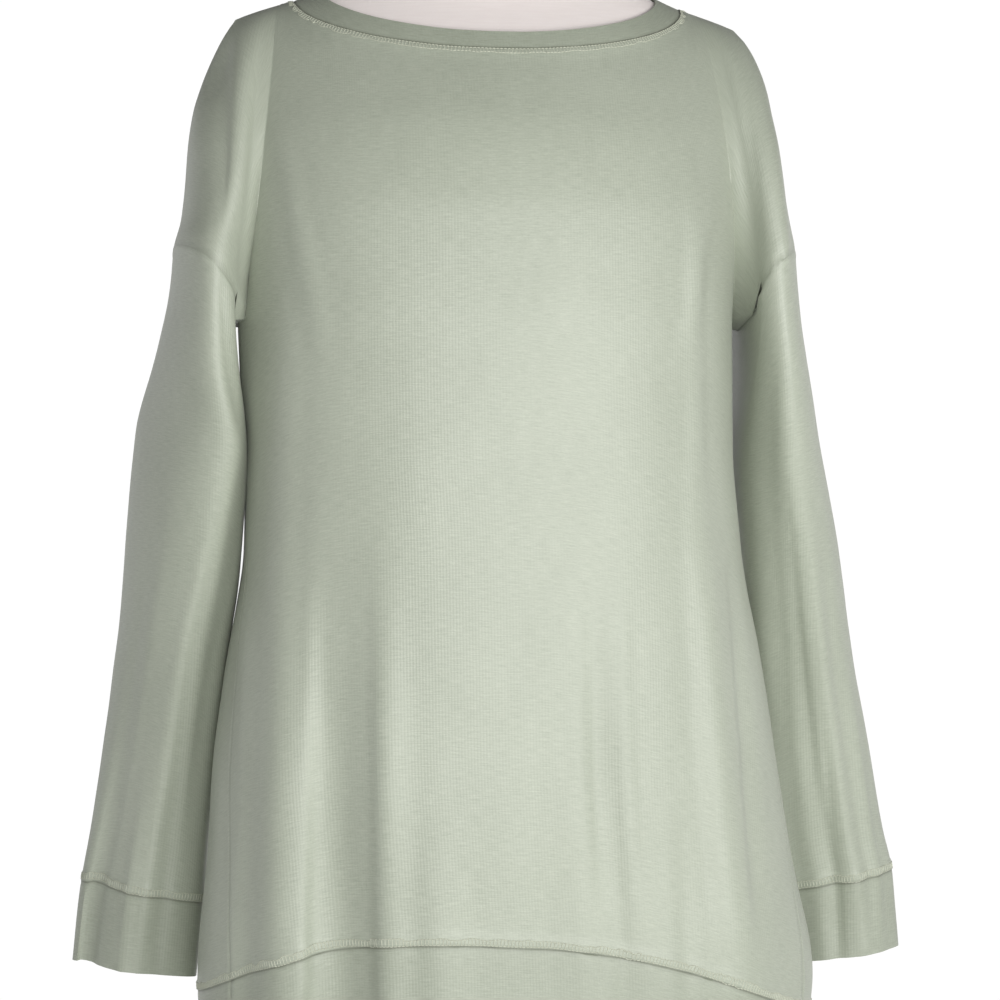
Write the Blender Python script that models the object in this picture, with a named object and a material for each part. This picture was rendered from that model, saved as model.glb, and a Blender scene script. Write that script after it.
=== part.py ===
"""Long-sleeve drop-shoulder tunic top on a limbless dress form.

Metres, +Z up. The chest faces -Y and the wearer's left side is +X.
The cloth is one smooth surface, worked out by functions and cut along its
seams into the pieces that are sewn together. Each piece is a thin wall.
"""
import math

import bmesh
import bpy
from mathutils import Vector

# Cloth wall and the clear distance between two pieces along a seam
WALL = 0.0016
SEAM_GAP = 0.00034

# Grid of the cloth, in steps
FRONT_STEPS = 15
BACK_STEPS = 12
SHOULDER_STEPS = 3
CAP_STEPS = 8
CAP_CROWDING = 0.35
NECK_CROWDING = 1.25
COLUMN_LEAN = 4
LOWER_ROWS = 11
UPPER_ROWS = 10
SLEEVE_ROWS = 13
CUFF_ROWS = 2
BAND_ROWS = 2
NECKBAND_ROWS = 2

# Heights of the cut, and how square the armhole seam is on the left (1) and right (-1)
UNDERARM_Z = 1.130
ARMHOLE_TOP_Z = 1.190
ARMHOLE_BEND = {1: 0.22, -1: 0.34}
SHOULDER_TIP_X = 0.190
CUFF_HEIGHT = 0.0585
HEM_BAND_HEIGHT = 0.058

# Neckline seam and the free edge of the neckband, seen from the front
NECK_SEAM_X = 0.147
NECK_EDGE_X = 0.128
NECK_FRONT_SEAM_Z = 1.330
NECK_FRONT_EDGE_Z = 1.343
NECK_BACK_SEAM_Z = 1.381
NECK_BACK_EDGE_Z = 1.392

# Hem seam, arched at the front and the back. The arch is turned a little to the
# wearer's right, in degrees, and the left side hangs lower
HEM_SIDE_Z = 0.6225
HEM_FRONT_RISE = 0.0585
HEM_BACK_RISE = 0.016
HEM_ARCH_TURN = -10.0
HEM_TILT = 0.008

# Roundness of the body seen from the side, where it closes over the shoulders
FRONT_CLOSE = 1.9
BACK_CLOSE = 2.2

# Softness of the valley between body and sleeve cap, and width of its bottom
VALLEY_BLEND = 0.026
VALLEY_WIDTH = 0.009

# Body sections: height, half width, front depth, back depth, front squareness,
# back squareness, turn of the side seam to the front in degrees, sway along X
BODY = (
    (0.560, 0.2240, 0.1400, 0.128, 2.30, 1.95, 26.0, 0.014),
    (0.600, 0.2300, 0.1470, 0.133, 2.30, 1.95, 26.0, 0.015),
    (0.640, 0.2336, 0.1520, 0.135, 2.35, 1.95, 26.0, 0.015),
    (0.735, 0.2210, 0.1530, 0.131, 2.40, 1.95, 20.0, 0.010),
    (0.811, 0.2124, 0.1520, 0.127, 2.45, 2.00, 16.0, 0.006),
    (0.887, 0.2005, 0.1500, 0.123, 2.50, 2.05, 12.0, 0.005),
    (0.963, 0.1880, 0.1480, 0.119, 2.50, 2.10, 8.0, 0.004),
    (1.039, 0.1850, 0.1460, 0.116, 2.50, 2.20, 4.0, 0.001),
    (1.130, 0.1865, 0.1442, 0.117, 2.45, 2.30, 0.0, 0.000),
    (1.165, 0.1885, 0.1443, 0.124, 2.40, 2.30, 0.0, 0.000),
    (1.190, 0.1900, 0.1452, 0.128, 2.40, 2.30, 0.0, 0.000),
    (1.220, 0.1915, 0.1468, 0.131, 2.40, 2.30, 0.0, 0.000),
    (1.250, 0.1925, 0.1467, 0.132, 2.40, 2.30, 0.0, 0.000),
    (1.270, 0.1930, 0.1458, 0.132, 2.40, 2.30, 0.0, 0.000),
    (1.300, 0.1935, 0.1406, 0.131, 2.40, 2.30, 0.0, 0.000),
    (1.330, 0.1940, 0.1358, 0.129, 2.40, 2.30, 0.0, 0.000),
    (1.430, 0.1940, 0.1320, 0.118, 2.40, 2.30, 0.0, 0.000),
)

# Shoulder line seen from the front: distance from the centre, height
SHOULDER = (
    (0.000, 1.4250),
    (0.060, 1.4140),
    (0.100, 1.3970),
    (0.128, 1.3835),
    (0.147, 1.3755),
    (0.170, 1.3680),
    (0.190, 1.3610),
)

TIP_Z = SHOULDER[-1][1]

# Outline of the sleeve cap below the shoulder tip:
# height, reach on the wearer's left, reach on the wearer's right
CAP_LINE = (
    (1.130, 0.2438, 0.2448),
    (1.160, 0.2385, 0.2405),
    (1.190, 0.2337, 0.2365),
    (1.210, 0.2297, 0.2312),
    (1.235, 0.2258, 0.2280),
    (1.265, 0.2210, 0.2258),
    (1.290, 0.2156, 0.2222),
    (1.310, 0.2125, 0.2160),
    (1.335, 0.2066, 0.2055),
    (1.350, 0.2000, 0.1980),
    (1.361, 0.1900, 0.1900),
)

# Sleeve cap sections: height, inner edge, body side of the valley,
# front depth, back depth
CAP = (
    (1.130, 0.1885, 0.1865, 0.084, 0.090),
    (1.160, 0.1830, 0.1835, 0.087, 0.093),
    (1.190, 0.1780, 0.1805, 0.090, 0.096),
    (1.250, 0.1690, 0.1745, 0.093, 0.097),
    (1.300, 0.1630, 0.1690, 0.094, 0.096),
    (1.361, 0.1560, 0.1620, 0.094, 0.094),
)

# Sleeve sections from the armhole to the cuff's lower edge: middle height,
# left inner and outer reach, right inner and outer reach, middle depth, half depth,
# rise of the outer edge over the inner edge, and the right sleeve's lean, which
# brings its front in where it is negative
SLEEVE = (
    (1.160, 0.1955, 0.2337, 0.1955, 0.2365, 0.004, 0.092, 0.060, -0.12),
    (1.105, 0.1930, 0.2440, 0.1890, 0.2480, 0.008, 0.088, 0.044, -0.12),
    (1.040, 0.1940, 0.2560, 0.1875, 0.2585, 0.015, 0.080, 0.032, -0.24),
    (0.962, 0.2010, 0.2757, 0.1880, 0.2690, 0.025, 0.067, 0.024, -0.19),
    (0.885, 0.2090, 0.2912, 0.1950, 0.2785, 0.038, 0.055, 0.018, -0.12),
    (0.805, 0.2180, 0.3095, 0.2020, 0.2900, 0.050, 0.042, 0.016, -0.12),
    (0.735, 0.2280, 0.3240, 0.2085, 0.3020, 0.055, 0.032, 0.016, -0.12),
    (0.700, 0.2340, 0.3325, 0.2110, 0.3083, 0.056, 0.029, 0.017, -0.12),
    (0.668, 0.2375, 0.3360, 0.2140, 0.3125, 0.057, 0.026, 0.015, -0.12),
    (0.636, 0.2400, 0.3387, 0.2170, 0.3163, 0.057, 0.024, 0.013, -0.12),
)
CUFF_SEAM_Z = 0.700

# Main folds of the front: X and height where one begins, X at the hem,
# half width, height of the ridge (a trough is negative)
FRONT_FOLDS = (
    (-0.120, 1.080, -0.134, 0.036, -0.013),
    (-0.158, 1.000, -0.180, 0.024, 0.007),
    (-0.184, 1.060, -0.204, 0.014, -0.003),
    (-0.062, 0.860, -0.070, 0.032, 0.005),
    (0.054, 1.000, 0.067, 0.018, -0.006),
    (0.132, 1.100, 0.170, 0.032, 0.006),
    (0.018, 0.800, 0.022, 0.028, -0.003),
)

# Main folds of the back, the same columns
BACK_FOLDS = (
    (-0.110, 1.050, -0.128, 0.032, -0.010),
    (-0.060, 0.950, -0.066, 0.028, 0.006),
    (0.004, 1.000, 0.002, 0.034, -0.009),
    (0.068, 0.980, 0.078, 0.028, 0.006),
    (0.116, 1.060, 0.140, 0.030, -0.011),
)

# Long folds of the sleeves: side, turn round the sleeve at the top and at the
# cuff in degrees (0 outside, 90 front, 180 inside), height where one begins,
# half width in degrees, height of the ridge
SLEEVE_FOLDS = (
    ("right", 62.0, 42.0, 1.060, 40.0, -0.011),
    ("right", 112.0, 92.0, 1.020, 40.0, 0.004),
    ("right", 236.0, 250.0, 1.000, 40.0, -0.008),
    ("right", 300.0, 306.0, 0.980, 36.0, 0.003),
    ("left", 128.0, 132.0, 1.000, 38.0, -0.008),
    ("left", 84.0, 72.0, 1.040, 36.0, 0.004),
    ("left", 240.0, 232.0, 0.980, 40.0, -0.009),
    ("left", 296.0, 290.0, 1.000, 36.0, 0.003),
)

# Dress form sections: height, half width, front depth, back depth
FORM = (
    (0.742, 0.1660, 0.108, 0.106),
    (0.750, 0.1720, 0.113, 0.111),
    (0.800, 0.1760, 0.116, 0.114),
    (0.870, 0.1700, 0.112, 0.109),
    (0.945, 0.1450, 0.100, 0.094),
    (1.010, 0.1300, 0.094, 0.088),
    (1.080, 0.1400, 0.106, 0.094),
    (1.150, 0.1560, 0.122, 0.102),
    (1.200, 0.1620, 0.127, 0.106),
    (1.250, 0.1640, 0.119, 0.108),
    (1.300, 0.1650, 0.103, 0.101),
    (1.330, 0.1640, 0.088, 0.086),
    (1.352, 0.1600, 0.070, 0.067),
    (1.3665, 0.1500, 0.057, 0.053),
    (1.3787, 0.1310, 0.048, 0.044),
    (1.3882, 0.1110, 0.046, 0.043),
    (1.399, 0.0860, 0.048, 0.046),
    (1.414, 0.0660, 0.050, 0.049),
    (1.440, 0.0570, 0.052, 0.052),
    (1.470, 0.0545, 0.0525, 0.0525),
)
FORM_STEPS = 32
FORM_POWER = 0.88
NECK_CAP_RADIUS = 0.058
NECK_CAP_HEIGHT = 0.016
POLE_RADIUS = 0.0125
COLLAR_RADIUS = 0.026
COLLAR_HEIGHT = 0.030
BASE_RADIUS = 0.170
BASE_HEIGHT = 0.014
BASE_EDGE = 0.004
CONTACT_GAP = 0.0004
ROUND_STEPS = 32

# Points of neighbouring pieces nearer than this are one point of the cloth
MERGE = 0.00002

# Sleeve sections sorted from the lowest up
SLEEVE_UP = tuple(sorted(SLEEVE))

# Colours
SAGE = (0.42, 0.47, 0.38)
LINEN = (0.86, 0.78, 0.74)
WOOD = (0.30, 0.19, 0.11)
STEEL = (0.62, 0.62, 0.63)


def spline(rows, at, column):
    """Smooth, never overshooting curve through one column of a table."""
    keys = [row[0] for row in rows]
    values = [row[column] for row in rows]
    if at <= keys[0]:
        return values[0]
    if at >= keys[-1]:
        return values[-1]
    steps = [b - a for a, b in zip(keys, keys[1:])]
    slopes = [(b - a) / h for a, b, h in zip(values, values[1:], steps)]
    tangents = [slopes[0]]
    for before, after in zip(slopes, slopes[1:]):
        same_way = before * after > 0.0
        tangents.append(2.0 * before * after / (before + after) if same_way else 0.0)
    tangents.append(slopes[-1])
    k = next(i for i in range(len(steps)) if at <= keys[i + 1])
    u = (at - keys[k]) / steps[k]
    return (
        values[k] * (1.0 + 2.0 * u) * (1.0 - u) ** 2
        + tangents[k] * steps[k] * u * (1.0 - u) ** 2
        + values[k + 1] * u * u * (3.0 - 2.0 * u)
        + tangents[k + 1] * steps[k] * u * u * (u - 1.0)
    )


def smooth(value, low, high):
    """Rise from 0 at low to 1 at high, level at both ends."""
    u = min(1.0, max(0.0, (value - low) / (high - low)))
    return u * u * (3.0 - 2.0 * u)


def mix(a, b, share):
    """Value or vector between a and b."""
    return a * (1.0 - share) + b * share


def rounded(value, power):
    """Height of a squared circle of radius 1 over its centre line."""
    return max(0.0, 1.0 - min(1.0, abs(value)) ** power) ** (1.0 / power)


def soft_max(a, b, blend):
    """The larger of two values, with a soft change over from one to the other."""
    if blend <= 0.0:
        return max(a, b)
    share = min(1.0, max(0.0, 0.5 + 0.5 * (a - b) / blend))
    return b + (a - b) * share + blend * share * (1.0 - share)


def bell(distance, half_width):
    """Soft hump that is 1 at the middle and 0 from the half width on."""
    if abs(distance) >= half_width:
        return 0.0
    return 0.5 + 0.5 * math.cos(math.pi * distance / half_width)


def body_fold(folds, x, z):
    """Height of the folds of a panel, which grow from their start to the hem."""
    total = 0.0
    for x_top, z_top, x_hem, half_width, height in folds:
        if z < z_top:
            share = smooth(z_top - z, 0.0, z_top - HEM_SIDE_Z)
            run = min(1.2, (z_top - z) / (z_top - HEM_SIDE_Z))
            total += height * share * bell(x - mix(x_top, x_hem, run), half_width)
    return total


def shoulder_z(x):
    """Height of the shoulder line at a distance from the centre."""
    return spline(SHOULDER, min(abs(x), SHOULDER_TIP_X), 1)


def cap_reach(side, z):
    """How far the sleeve cap reaches out at a height."""
    return spline(CAP_LINE, z, 1 if side > 0 else 2)


def body_ring(turn, z):
    """Point of the body's ring at a height. The turn is 0 at the centre front,
    90 at the widest place and 180 at the centre back, negative on the right."""
    front = abs(turn) <= 90.0
    angle = math.radians(abs(turn) if front else 180.0 - abs(turn))
    power = 2.0 / spline(BODY, z, 4 if front else 5)
    x = spline(BODY, z, 1) * math.sin(angle) ** power
    y = spline(BODY, z, 2 if front else 3) * max(0.0, math.cos(angle)) ** power
    x = math.copysign(x, turn)
    fade = smooth(math.cos(angle), 0.0, 0.45)
    y += body_fold(FRONT_FOLDS if front else BACK_FOLDS, x, z) * fade
    return Vector((x + spline(BODY, z, 7), -y if front else y, z))


def hem_z(turn):
    """Height of the hem seam round the body."""
    ahead = math.cos(math.radians(turn - HEM_ARCH_TURN))
    rise = HEM_FRONT_RISE if ahead > 0.0 else HEM_BACK_RISE
    return HEM_SIDE_Z + rise * ahead ** 2 - HEM_TILT * math.sin(math.radians(turn))


def lower_point(face, side, column, steps, row_share, below=0.0):
    """Point of a body column between the hem seam and the underarm. Below the
    seam it runs on into the hem band."""
    share = column / steps

    def turn_at(z):
        seam = 90.0 - spline(BODY, z, 6)
        return seam * share if face < 0 else 180.0 - (180.0 - seam) * share

    z = mix(hem_z(side * turn_at(HEM_SIDE_Z)), UNDERARM_Z, row_share) - below
    return body_ring(side * turn_at(z), z)


def shell_depth(face, side, x, z):
    """Depth of the cloth above the underarm at a place seen from the front."""
    close = FRONT_CLOSE if face < 0 else BACK_CLOSE
    half_width = spline(BODY, z, 1)
    if abs(x) < half_width:
        square = spline(BODY, z, 4 if face < 0 else 5)
        body = spline(BODY, z, 2 if face < 0 else 3) * rounded(x / half_width, square)
    else:
        body = 2.0 * (half_width - abs(x))
    inner = spline(CAP, z, 1)
    outer = cap_reach(side, z)
    across = (2.0 * abs(x) - inner - outer) / (outer - inner)
    cap = spline(CAP, z, 3 if face < 0 else 4) * rounded(across, 2.0)
    blend = VALLEY_BLEND * smooth(z, UNDERARM_Z, UNDERARM_Z + 0.07)
    close_share = rounded((z - UNDERARM_Z) / (shoulder_z(x) - UNDERARM_Z), close)
    return close_share * soft_max(body, cap, blend)


def neckline(face, share, seam):
    """Place on the neckline seen from the front, from 0 at the centre to 1 at
    the shoulder line. seam is 1 on the seam and 0 on the band's free edge."""
    half_width = mix(NECK_EDGE_X, NECK_SEAM_X, seam)
    if face < 0:
        middle_z = mix(NECK_FRONT_EDGE_Z, NECK_FRONT_SEAM_Z, seam)
    else:
        middle_z = mix(NECK_BACK_EDGE_Z, NECK_BACK_SEAM_Z, seam)
    angle = math.radians(90.0 * (1.0 - (1.0 - share) ** NECK_CROWDING))
    bend = 1.0 - math.cos(angle) if face < 0 else math.sin(angle) ** 2
    rise = shoulder_z(half_width) - middle_z
    return half_width * math.sin(angle), middle_z + rise * bend


def band_point(face, side, share, seam):
    """Point of the neckband, which carries on the slope of its panel."""
    x, z = neckline(face, share, seam)
    y = 0.0 if share >= 1.0 else shell_depth(face, side, x, z)
    return Vector((side * x, face * y, z))


def rise_share(row_share, end_share):
    """Share of a column's height reached at a row, in even steps of turn."""
    return math.sin(row_share * math.asin(min(1.0, end_share))) / end_share


def upper_point(face, side, column, steps, row_share):
    """Point of a body column between the underarm and the neckline or shoulder."""
    neck_steps = steps - SHOULDER_STEPS
    power = 2.0 / spline(BODY, UNDERARM_Z, 4 if face < 0 else 5)
    x_low = math.sin(math.radians(90.0 * column / steps)) ** power
    if column <= neck_steps:
        x_top, z_top = neckline(face, column / neck_steps, 1.0)
    else:
        past = (column - neck_steps) / SHOULDER_STEPS
        x_top = mix(NECK_SEAM_X, spline(CAP, TIP_Z, 2), past)
        z_top = shoulder_z(x_top)
    full = (z_top - UNDERARM_Z) / (shoulder_z(x_top) - UNDERARM_Z)
    z = mix(UNDERARM_Z, z_top, rise_share(row_share, full))
    x = mix(x_low * spline(CAP, z, 2), x_top, row_share ** COLUMN_LEAN)
    on_shoulder = row_share >= 1.0 and column >= neck_steps
    y = 0.0 if on_shoulder else shell_depth(face, side, x, z)
    if row_share <= 0.0:
        return body_ring(side * (90.0 * column / steps if face < 0
                                 else 180.0 - 90.0 * column / steps), z)
    return Vector((side * x, face * y, z))


def cap_across(column):
    """Share of the cap's width at a column, closer together at both ends."""
    share = column / CAP_STEPS
    return mix(share, 0.5 - 0.5 * math.cos(math.pi * share), CAP_CROWDING)


def cap_point(face, side, column, row_share):
    """Point of the sleeve cap, from the valley to the shoulder seam. Column -1
    is the body's side of the valley."""
    if column < 0:
        return upper_point(face, side, FRONT_STEPS, FRONT_STEPS, row_share)
    across = cap_across(column)
    share = rise_share(row_share, 1.0)
    valley_top = spline(CAP, TIP_Z, 2) + VALLEY_WIDTH
    x_top = mix(valley_top, SHOULDER_TIP_X, across)
    z_low = mix(UNDERARM_Z, ARMHOLE_TOP_Z, across ** ARMHOLE_BEND[side])
    z = mix(z_low, shoulder_z(x_top), share)
    valley_z = mix(UNDERARM_Z, shoulder_z(valley_top), share)
    valley = spline(CAP, valley_z, 2) + VALLEY_WIDTH
    reach = cap_reach(side, mix(ARMHOLE_TOP_Z, TIP_Z, share))
    x = mix(valley, reach, across)
    underarm = row_share <= 0.0 and column == 0
    on_seam = underarm or row_share >= 1.0 or column == CAP_STEPS
    y = 0.0 if on_seam else shell_depth(face, side, x, z)
    return Vector((side * x, face * y, z))


def sleeve_middle(side, z_middle):
    """Middle of a sleeve section and its half width."""
    inner = spline(SLEEVE_UP, z_middle, 1 if side > 0 else 3)
    outer = spline(SLEEVE_UP, z_middle, 2 if side > 0 else 4)
    depth = spline(SLEEVE_UP, z_middle, 5)
    return Vector((side * 0.5 * (inner + outer), depth, z_middle)), 0.5 * (outer - inner)


def sleeve_fold(side, turn, z):
    """Height of the sleeve's long folds at a turn round the sleeve."""
    total = 0.0
    for name, turn_top, turn_cuff, z_top, half_width, height in SLEEVE_FOLDS:
        if (name == "left") == (side > 0) and z < z_top:
            run = (z_top - z) / (z_top - CUFF_SEAM_Z)
            away = (turn - mix(turn_top, turn_cuff, min(1.2, run)) + 180.0) % 360.0 - 180.0
            total += height * smooth(run, 0.0, 1.0) * bell(away, half_width)
    return total


def sleeve_ring(side, turn, z_middle):
    """Point of a sleeve or cuff section: 0 is outside, 90 front, 180 inside."""
    middle, half_width = sleeve_middle(side, z_middle)
    half_depth = spline(SLEEVE_UP, z_middle, 6)
    rise = spline(SLEEVE_UP, z_middle, 7)
    across = math.cos(math.radians(turn))
    ahead = math.sin(math.radians(turn))
    out = Vector((across / half_width, -ahead / half_depth)).normalized()
    out *= sleeve_fold(side, turn, z_middle)
    lean = spline(SLEEVE_UP, z_middle, 8) if side < 0 else 0.0
    x = side * (half_width * across + lean * half_depth * ahead + out.x)
    return middle + Vector((x, out.y - half_depth * ahead, 0.5 * rise * across))


def sleeve_point(side, step, z_middle):
    """Point of the sleeve, which leaves the armhole and turns into an oval."""
    face = -1 if step <= CAP_STEPS else 1
    column = step if step <= CAP_STEPS else 2 * CAP_STEPS - step
    turn = math.degrees(math.acos(2.0 * cap_across(column) - 1.0))
    ring = sleeve_ring(side, turn if face < 0 else 360.0 - turn, z_middle)
    loop = cap_point(face, side, column, 0.0)
    top = SLEEVE[0][0]
    shift = sleeve_middle(side, z_middle)[0] - sleeve_middle(side, top)[0]
    return mix(loop + shift, ring, smooth(top - z_middle, 0.0, 0.12))


def steps_between(first, last, count):
    """Evenly spaced values with both ends."""
    return [mix(first, last, i / count) for i in range(count + 1)]


def panel_grids(face):
    """Grids of the front (face -1) or the back (face 1), one list per grid."""
    steps = FRONT_STEPS if face < 0 else BACK_STEPS
    lower = [[lower_point(face, side, c, steps, share) for side, c in across_body(steps)]
             for share in steps_between(0.0, 1.0, LOWER_ROWS)]
    upper = [[upper_point(face, side, c, steps, share) for side, c in across_body(steps)]
             for share in steps_between(0.0, 1.0, UPPER_ROWS)]
    caps = [[[cap_point(face, side, c, share) for c in range(-1, CAP_STEPS + 1)]
             for share in steps_between(0.0, 1.0, UPPER_ROWS)] for side in (-1, 1)]
    return [lower, upper] + caps


def across_body(steps):
    """Sides and columns from the wearer's right to the wearer's left."""
    return [(-1, c) for c in range(steps, 0, -1)] + [(1, c) for c in range(steps + 1)]


def hem_band_grids(face):
    """Grid of the hem band under the front or the back."""
    steps = FRONT_STEPS if face < 0 else BACK_STEPS
    return [[[lower_point(face, side, c, steps, 0.0, below) for side, c in across_body(steps)]
             for below in steps_between(0.0, HEM_BAND_HEIGHT, BAND_ROWS)]]


def neckband_grids():
    """Grids of the neckband round the front and the back of the neck."""
    grids = []
    for face, steps in ((-1, FRONT_STEPS), (1, BACK_STEPS)):
        count = steps - SHOULDER_STEPS
        grids.append([[band_point(face, side, c / count, seam)
                       for side, c in across_body(count)]
                      for seam in steps_between(1.0, 0.0, NECKBAND_ROWS)])
    return grids


def tube_grids(side, z_first, z_last, rows):
    """Grid of a sleeve or a cuff between two heights."""
    return [[[sleeve_point(side, step % (2 * CAP_STEPS), z) for step in range(2 * CAP_STEPS + 1)]
             for z in steps_between(z_first, z_last, rows)]]


def cloth_grids():
    """Every piece of the garment with its grids."""
    cuff_end = CUFF_SEAM_Z - CUFF_HEIGHT
    pieces = {"front": panel_grids(-1), "back": panel_grids(1)}
    for side, name in ((1, "left"), (-1, "right")):
        pieces["sleeve_" + name] = tube_grids(side, SLEEVE[0][0], CUFF_SEAM_Z, SLEEVE_ROWS)
        pieces["cuff_" + name] = tube_grids(side, CUFF_SEAM_Z, cuff_end, CUFF_ROWS)
    pieces["neckband"] = neckband_grids()
    pieces["hem_band_front"] = hem_band_grids(-1)
    pieces["hem_band_back"] = hem_band_grids(1)
    return pieces


def split(a, b, c, d):
    """Two triangles of a quad along its shorter diagonal, or from a where the
    other three corners all lie in the shoulder seam."""
    in_seam = max(abs(vertex.co.y) for vertex in (b, c, d)) < MERGE
    if in_seam or (a.co - c.co).length <= (b.co - d.co).length:
        return (a, b, c), (a, c, d)
    return (a, b, d), (b, c, d)


def joined_surface(pieces):
    """One mesh of the whole cloth. A face's material index is its piece."""
    cloth = bmesh.new()
    for index, grids in enumerate(pieces.values()):
        for grid in grids:
            rows = [[cloth.verts.new(point) for point in row] for row in grid]
            for low, high in zip(rows, rows[1:]):
                for corners in zip(low, low[1:], high[1:], high):
                    for triangle in split(*corners):
                        cloth.faces.new(triangle).material_index = index
    bmesh.ops.remove_doubles(cloth, verts=cloth.verts, dist=MERGE)
    bmesh.ops.recalc_face_normals(cloth, faces=cloth.faces)
    foremost = min(cloth.faces, key=lambda face: face.calc_center_median().y)
    if foremost.normal.y > 0.0:
        bmesh.ops.reverse_faces(cloth, faces=cloth.faces)
    cloth.normal_update()
    return cloth


def seam_pull(vertex, index):
    """Step that takes a point of a piece off the seams it lies on."""
    pulls = []
    for edge in vertex.link_edges:
        own = [face for face in edge.link_faces if face.material_index == index]
        if len(own) == 1 and len(edge.link_faces) == 2:
            along = (edge.other_vert(vertex).co - vertex.co).normalized()
            inward = own[0].calc_center_median() - vertex.co
            pulls.append((inward - along * inward.dot(along)).normalized())
    if not pulls:
        return Vector()
    pull = sum(pulls, Vector()).normalized()
    return pull * 0.5 * SEAM_GAP / max(0.5, pull.dot(pulls[0]))


def cut_piece(cloth, index):
    """Wall of one piece: its faces, moved off each seam by half the gap, the
    same faces one wall further in, and the rim between them."""
    faces = [face for face in cloth.faces if face.material_index == index]
    piece = bmesh.new()
    outer = {}
    inner = {}
    for vertex in {v for face in faces for v in face.verts}:
        point = vertex.co + seam_pull(vertex, index)
        outer[vertex] = point
        inner[vertex] = point - vertex.normal * WALL
    order = sorted(outer, key=lambda v: v.index)
    outer = {v: piece.verts.new(outer[v]) for v in order}
    inner = {v: piece.verts.new(inner[v]) for v in order}
    for face in faces:
        piece.faces.new([outer[v] for v in face.verts])
        piece.faces.new([inner[v] for v in reversed(face.verts)])
        for loop in face.loops:
            beyond = [f for f in loop.edge.link_faces if f is not face]
            if not beyond or beyond[0].material_index != index:
                a, b = loop.vert, loop.link_loop_next.vert
                piece.faces.new((outer[b], outer[a], inner[a], inner[b]))
    return piece


def material(name, colour, roughness, metallic=0.0):
    """Plain finish of one piece."""
    finish = bpy.data.materials.new(name)
    finish.use_nodes = True
    shader = finish.node_tree.nodes["Principled BSDF"]
    shader.inputs["Base Color"].default_value = (*colour, 1.0)
    shader.inputs["Roughness"].default_value = roughness
    shader.inputs["Metallic"].default_value = metallic
    return finish


def add_object(name, shape, finish):
    """Put a bmesh in the scene as a smooth shaded object."""
    mesh = bpy.data.meshes.new(name)
    shape.to_mesh(mesh)
    shape.free()
    mesh.shade_smooth()
    mesh.set_sharp_from_angle(angle=math.radians(50.0))
    mesh.materials.append(finish)
    thing = bpy.data.objects.new(name, mesh)
    bpy.context.scene.collection.objects.link(thing)
    return thing


def ring_stack(rings):
    """Closed solid through rings of equal count, from the lowest to the highest."""
    solid = bmesh.new()
    loops = [[solid.verts.new(point) for point in ring] for ring in rings]
    count = len(loops[0])
    for low, high in zip(loops, loops[1:]):
        for i in range(count):
            j = (i + 1) % count
            solid.faces.new((low[i], low[j], high[j], high[i]))
    solid.faces.new(list(reversed(loops[0])))
    solid.faces.new(loops[-1])
    return solid


def oval(half_width, front, back, z, power, count):
    """Ring of points, anticlockwise seen from above."""
    ring = []
    for i in range(count):
        angle = 2.0 * math.pi * i / count
        cos, sin = math.cos(angle), math.sin(angle)
        x = half_width * math.copysign(abs(cos) ** power, cos)
        depth = back if sin > 0.0 else front
        ring.append(Vector((x, depth * math.copysign(abs(sin) ** power, sin), z)))
    return ring


def form_torso():
    """Smooth body of the dress form, from the hip to the neck."""
    rings = []
    for z, half_width, front, back in FORM:
        squared = mix(FORM_POWER, 1.0, smooth(z, FORM[-5][0], FORM[-2][0]))
        rings.append(oval(half_width, front, back, z, squared, FORM_STEPS))
    return ring_stack(rings)


def turned(profile):
    """Solid turned round the upright axis from radii and heights, going up."""
    return ring_stack([oval(radius, radius, radius, z, 1.0, ROUND_STEPS) for radius, z in profile])


def neck_cap():
    """Low round cap that closes the neck of the form."""
    low = FORM[-1][0] + CONTACT_GAP
    top = low + NECK_CAP_HEIGHT
    edge = 0.3 * NECK_CAP_HEIGHT
    return turned(((NECK_CAP_RADIUS - edge, low), (NECK_CAP_RADIUS, low + edge),
                   (NECK_CAP_RADIUS, top - edge), (NECK_CAP_RADIUS - edge, top),
                   (0.5 * NECK_CAP_RADIUS, top + edge)))


def base_plate():
    """Round foot of the stand with the collar that takes the pole."""
    collar_top = BASE_HEIGHT + COLLAR_HEIGHT
    return turned(((BASE_RADIUS, 0.0), (BASE_RADIUS, BASE_HEIGHT - BASE_EDGE),
                   (BASE_RADIUS - BASE_EDGE, BASE_HEIGHT),
                   (COLLAR_RADIUS + BASE_EDGE, BASE_HEIGHT + BASE_EDGE),
                   (COLLAR_RADIUS, BASE_HEIGHT + 2.0 * BASE_EDGE),
                   (COLLAR_RADIUS, collar_top - BASE_EDGE),
                   (COLLAR_RADIUS - BASE_EDGE, collar_top)))


def pole():
    """Upright tube between the foot's collar and the torso."""
    low = BASE_HEIGHT + COLLAR_HEIGHT + CONTACT_GAP
    return turned(((POLE_RADIUS, low), (POLE_RADIUS, FORM[0][0] - CONTACT_GAP)))


def main():
    for thing in list(bpy.data.objects):
        bpy.data.objects.remove(thing, do_unlink=True)
    pieces = cloth_grids()
    cloth = joined_surface(pieces)
    cloth.verts.index_update()
    for index, name in enumerate(pieces):
        add_object(name, cut_piece(cloth, index), material(name, SAGE, 0.75))
    cloth.free()
    add_object("form_torso", form_torso(), material("form_torso", LINEN, 0.85))
    add_object("form_neck_cap", neck_cap(), material("form_neck_cap", WOOD, 0.45))
    add_object("form_pole", pole(), material("form_pole", STEEL, 0.3, 1.0))
    add_object("form_base", base_plate(), material("form_base", STEEL, 0.4, 1.0))


main()
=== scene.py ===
import math

import bmesh
import bpy
import numpy as np
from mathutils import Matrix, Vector, noise
from mathutils.bvhtree import BVHTree
from mathutils.kdtree import KDTree


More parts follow.
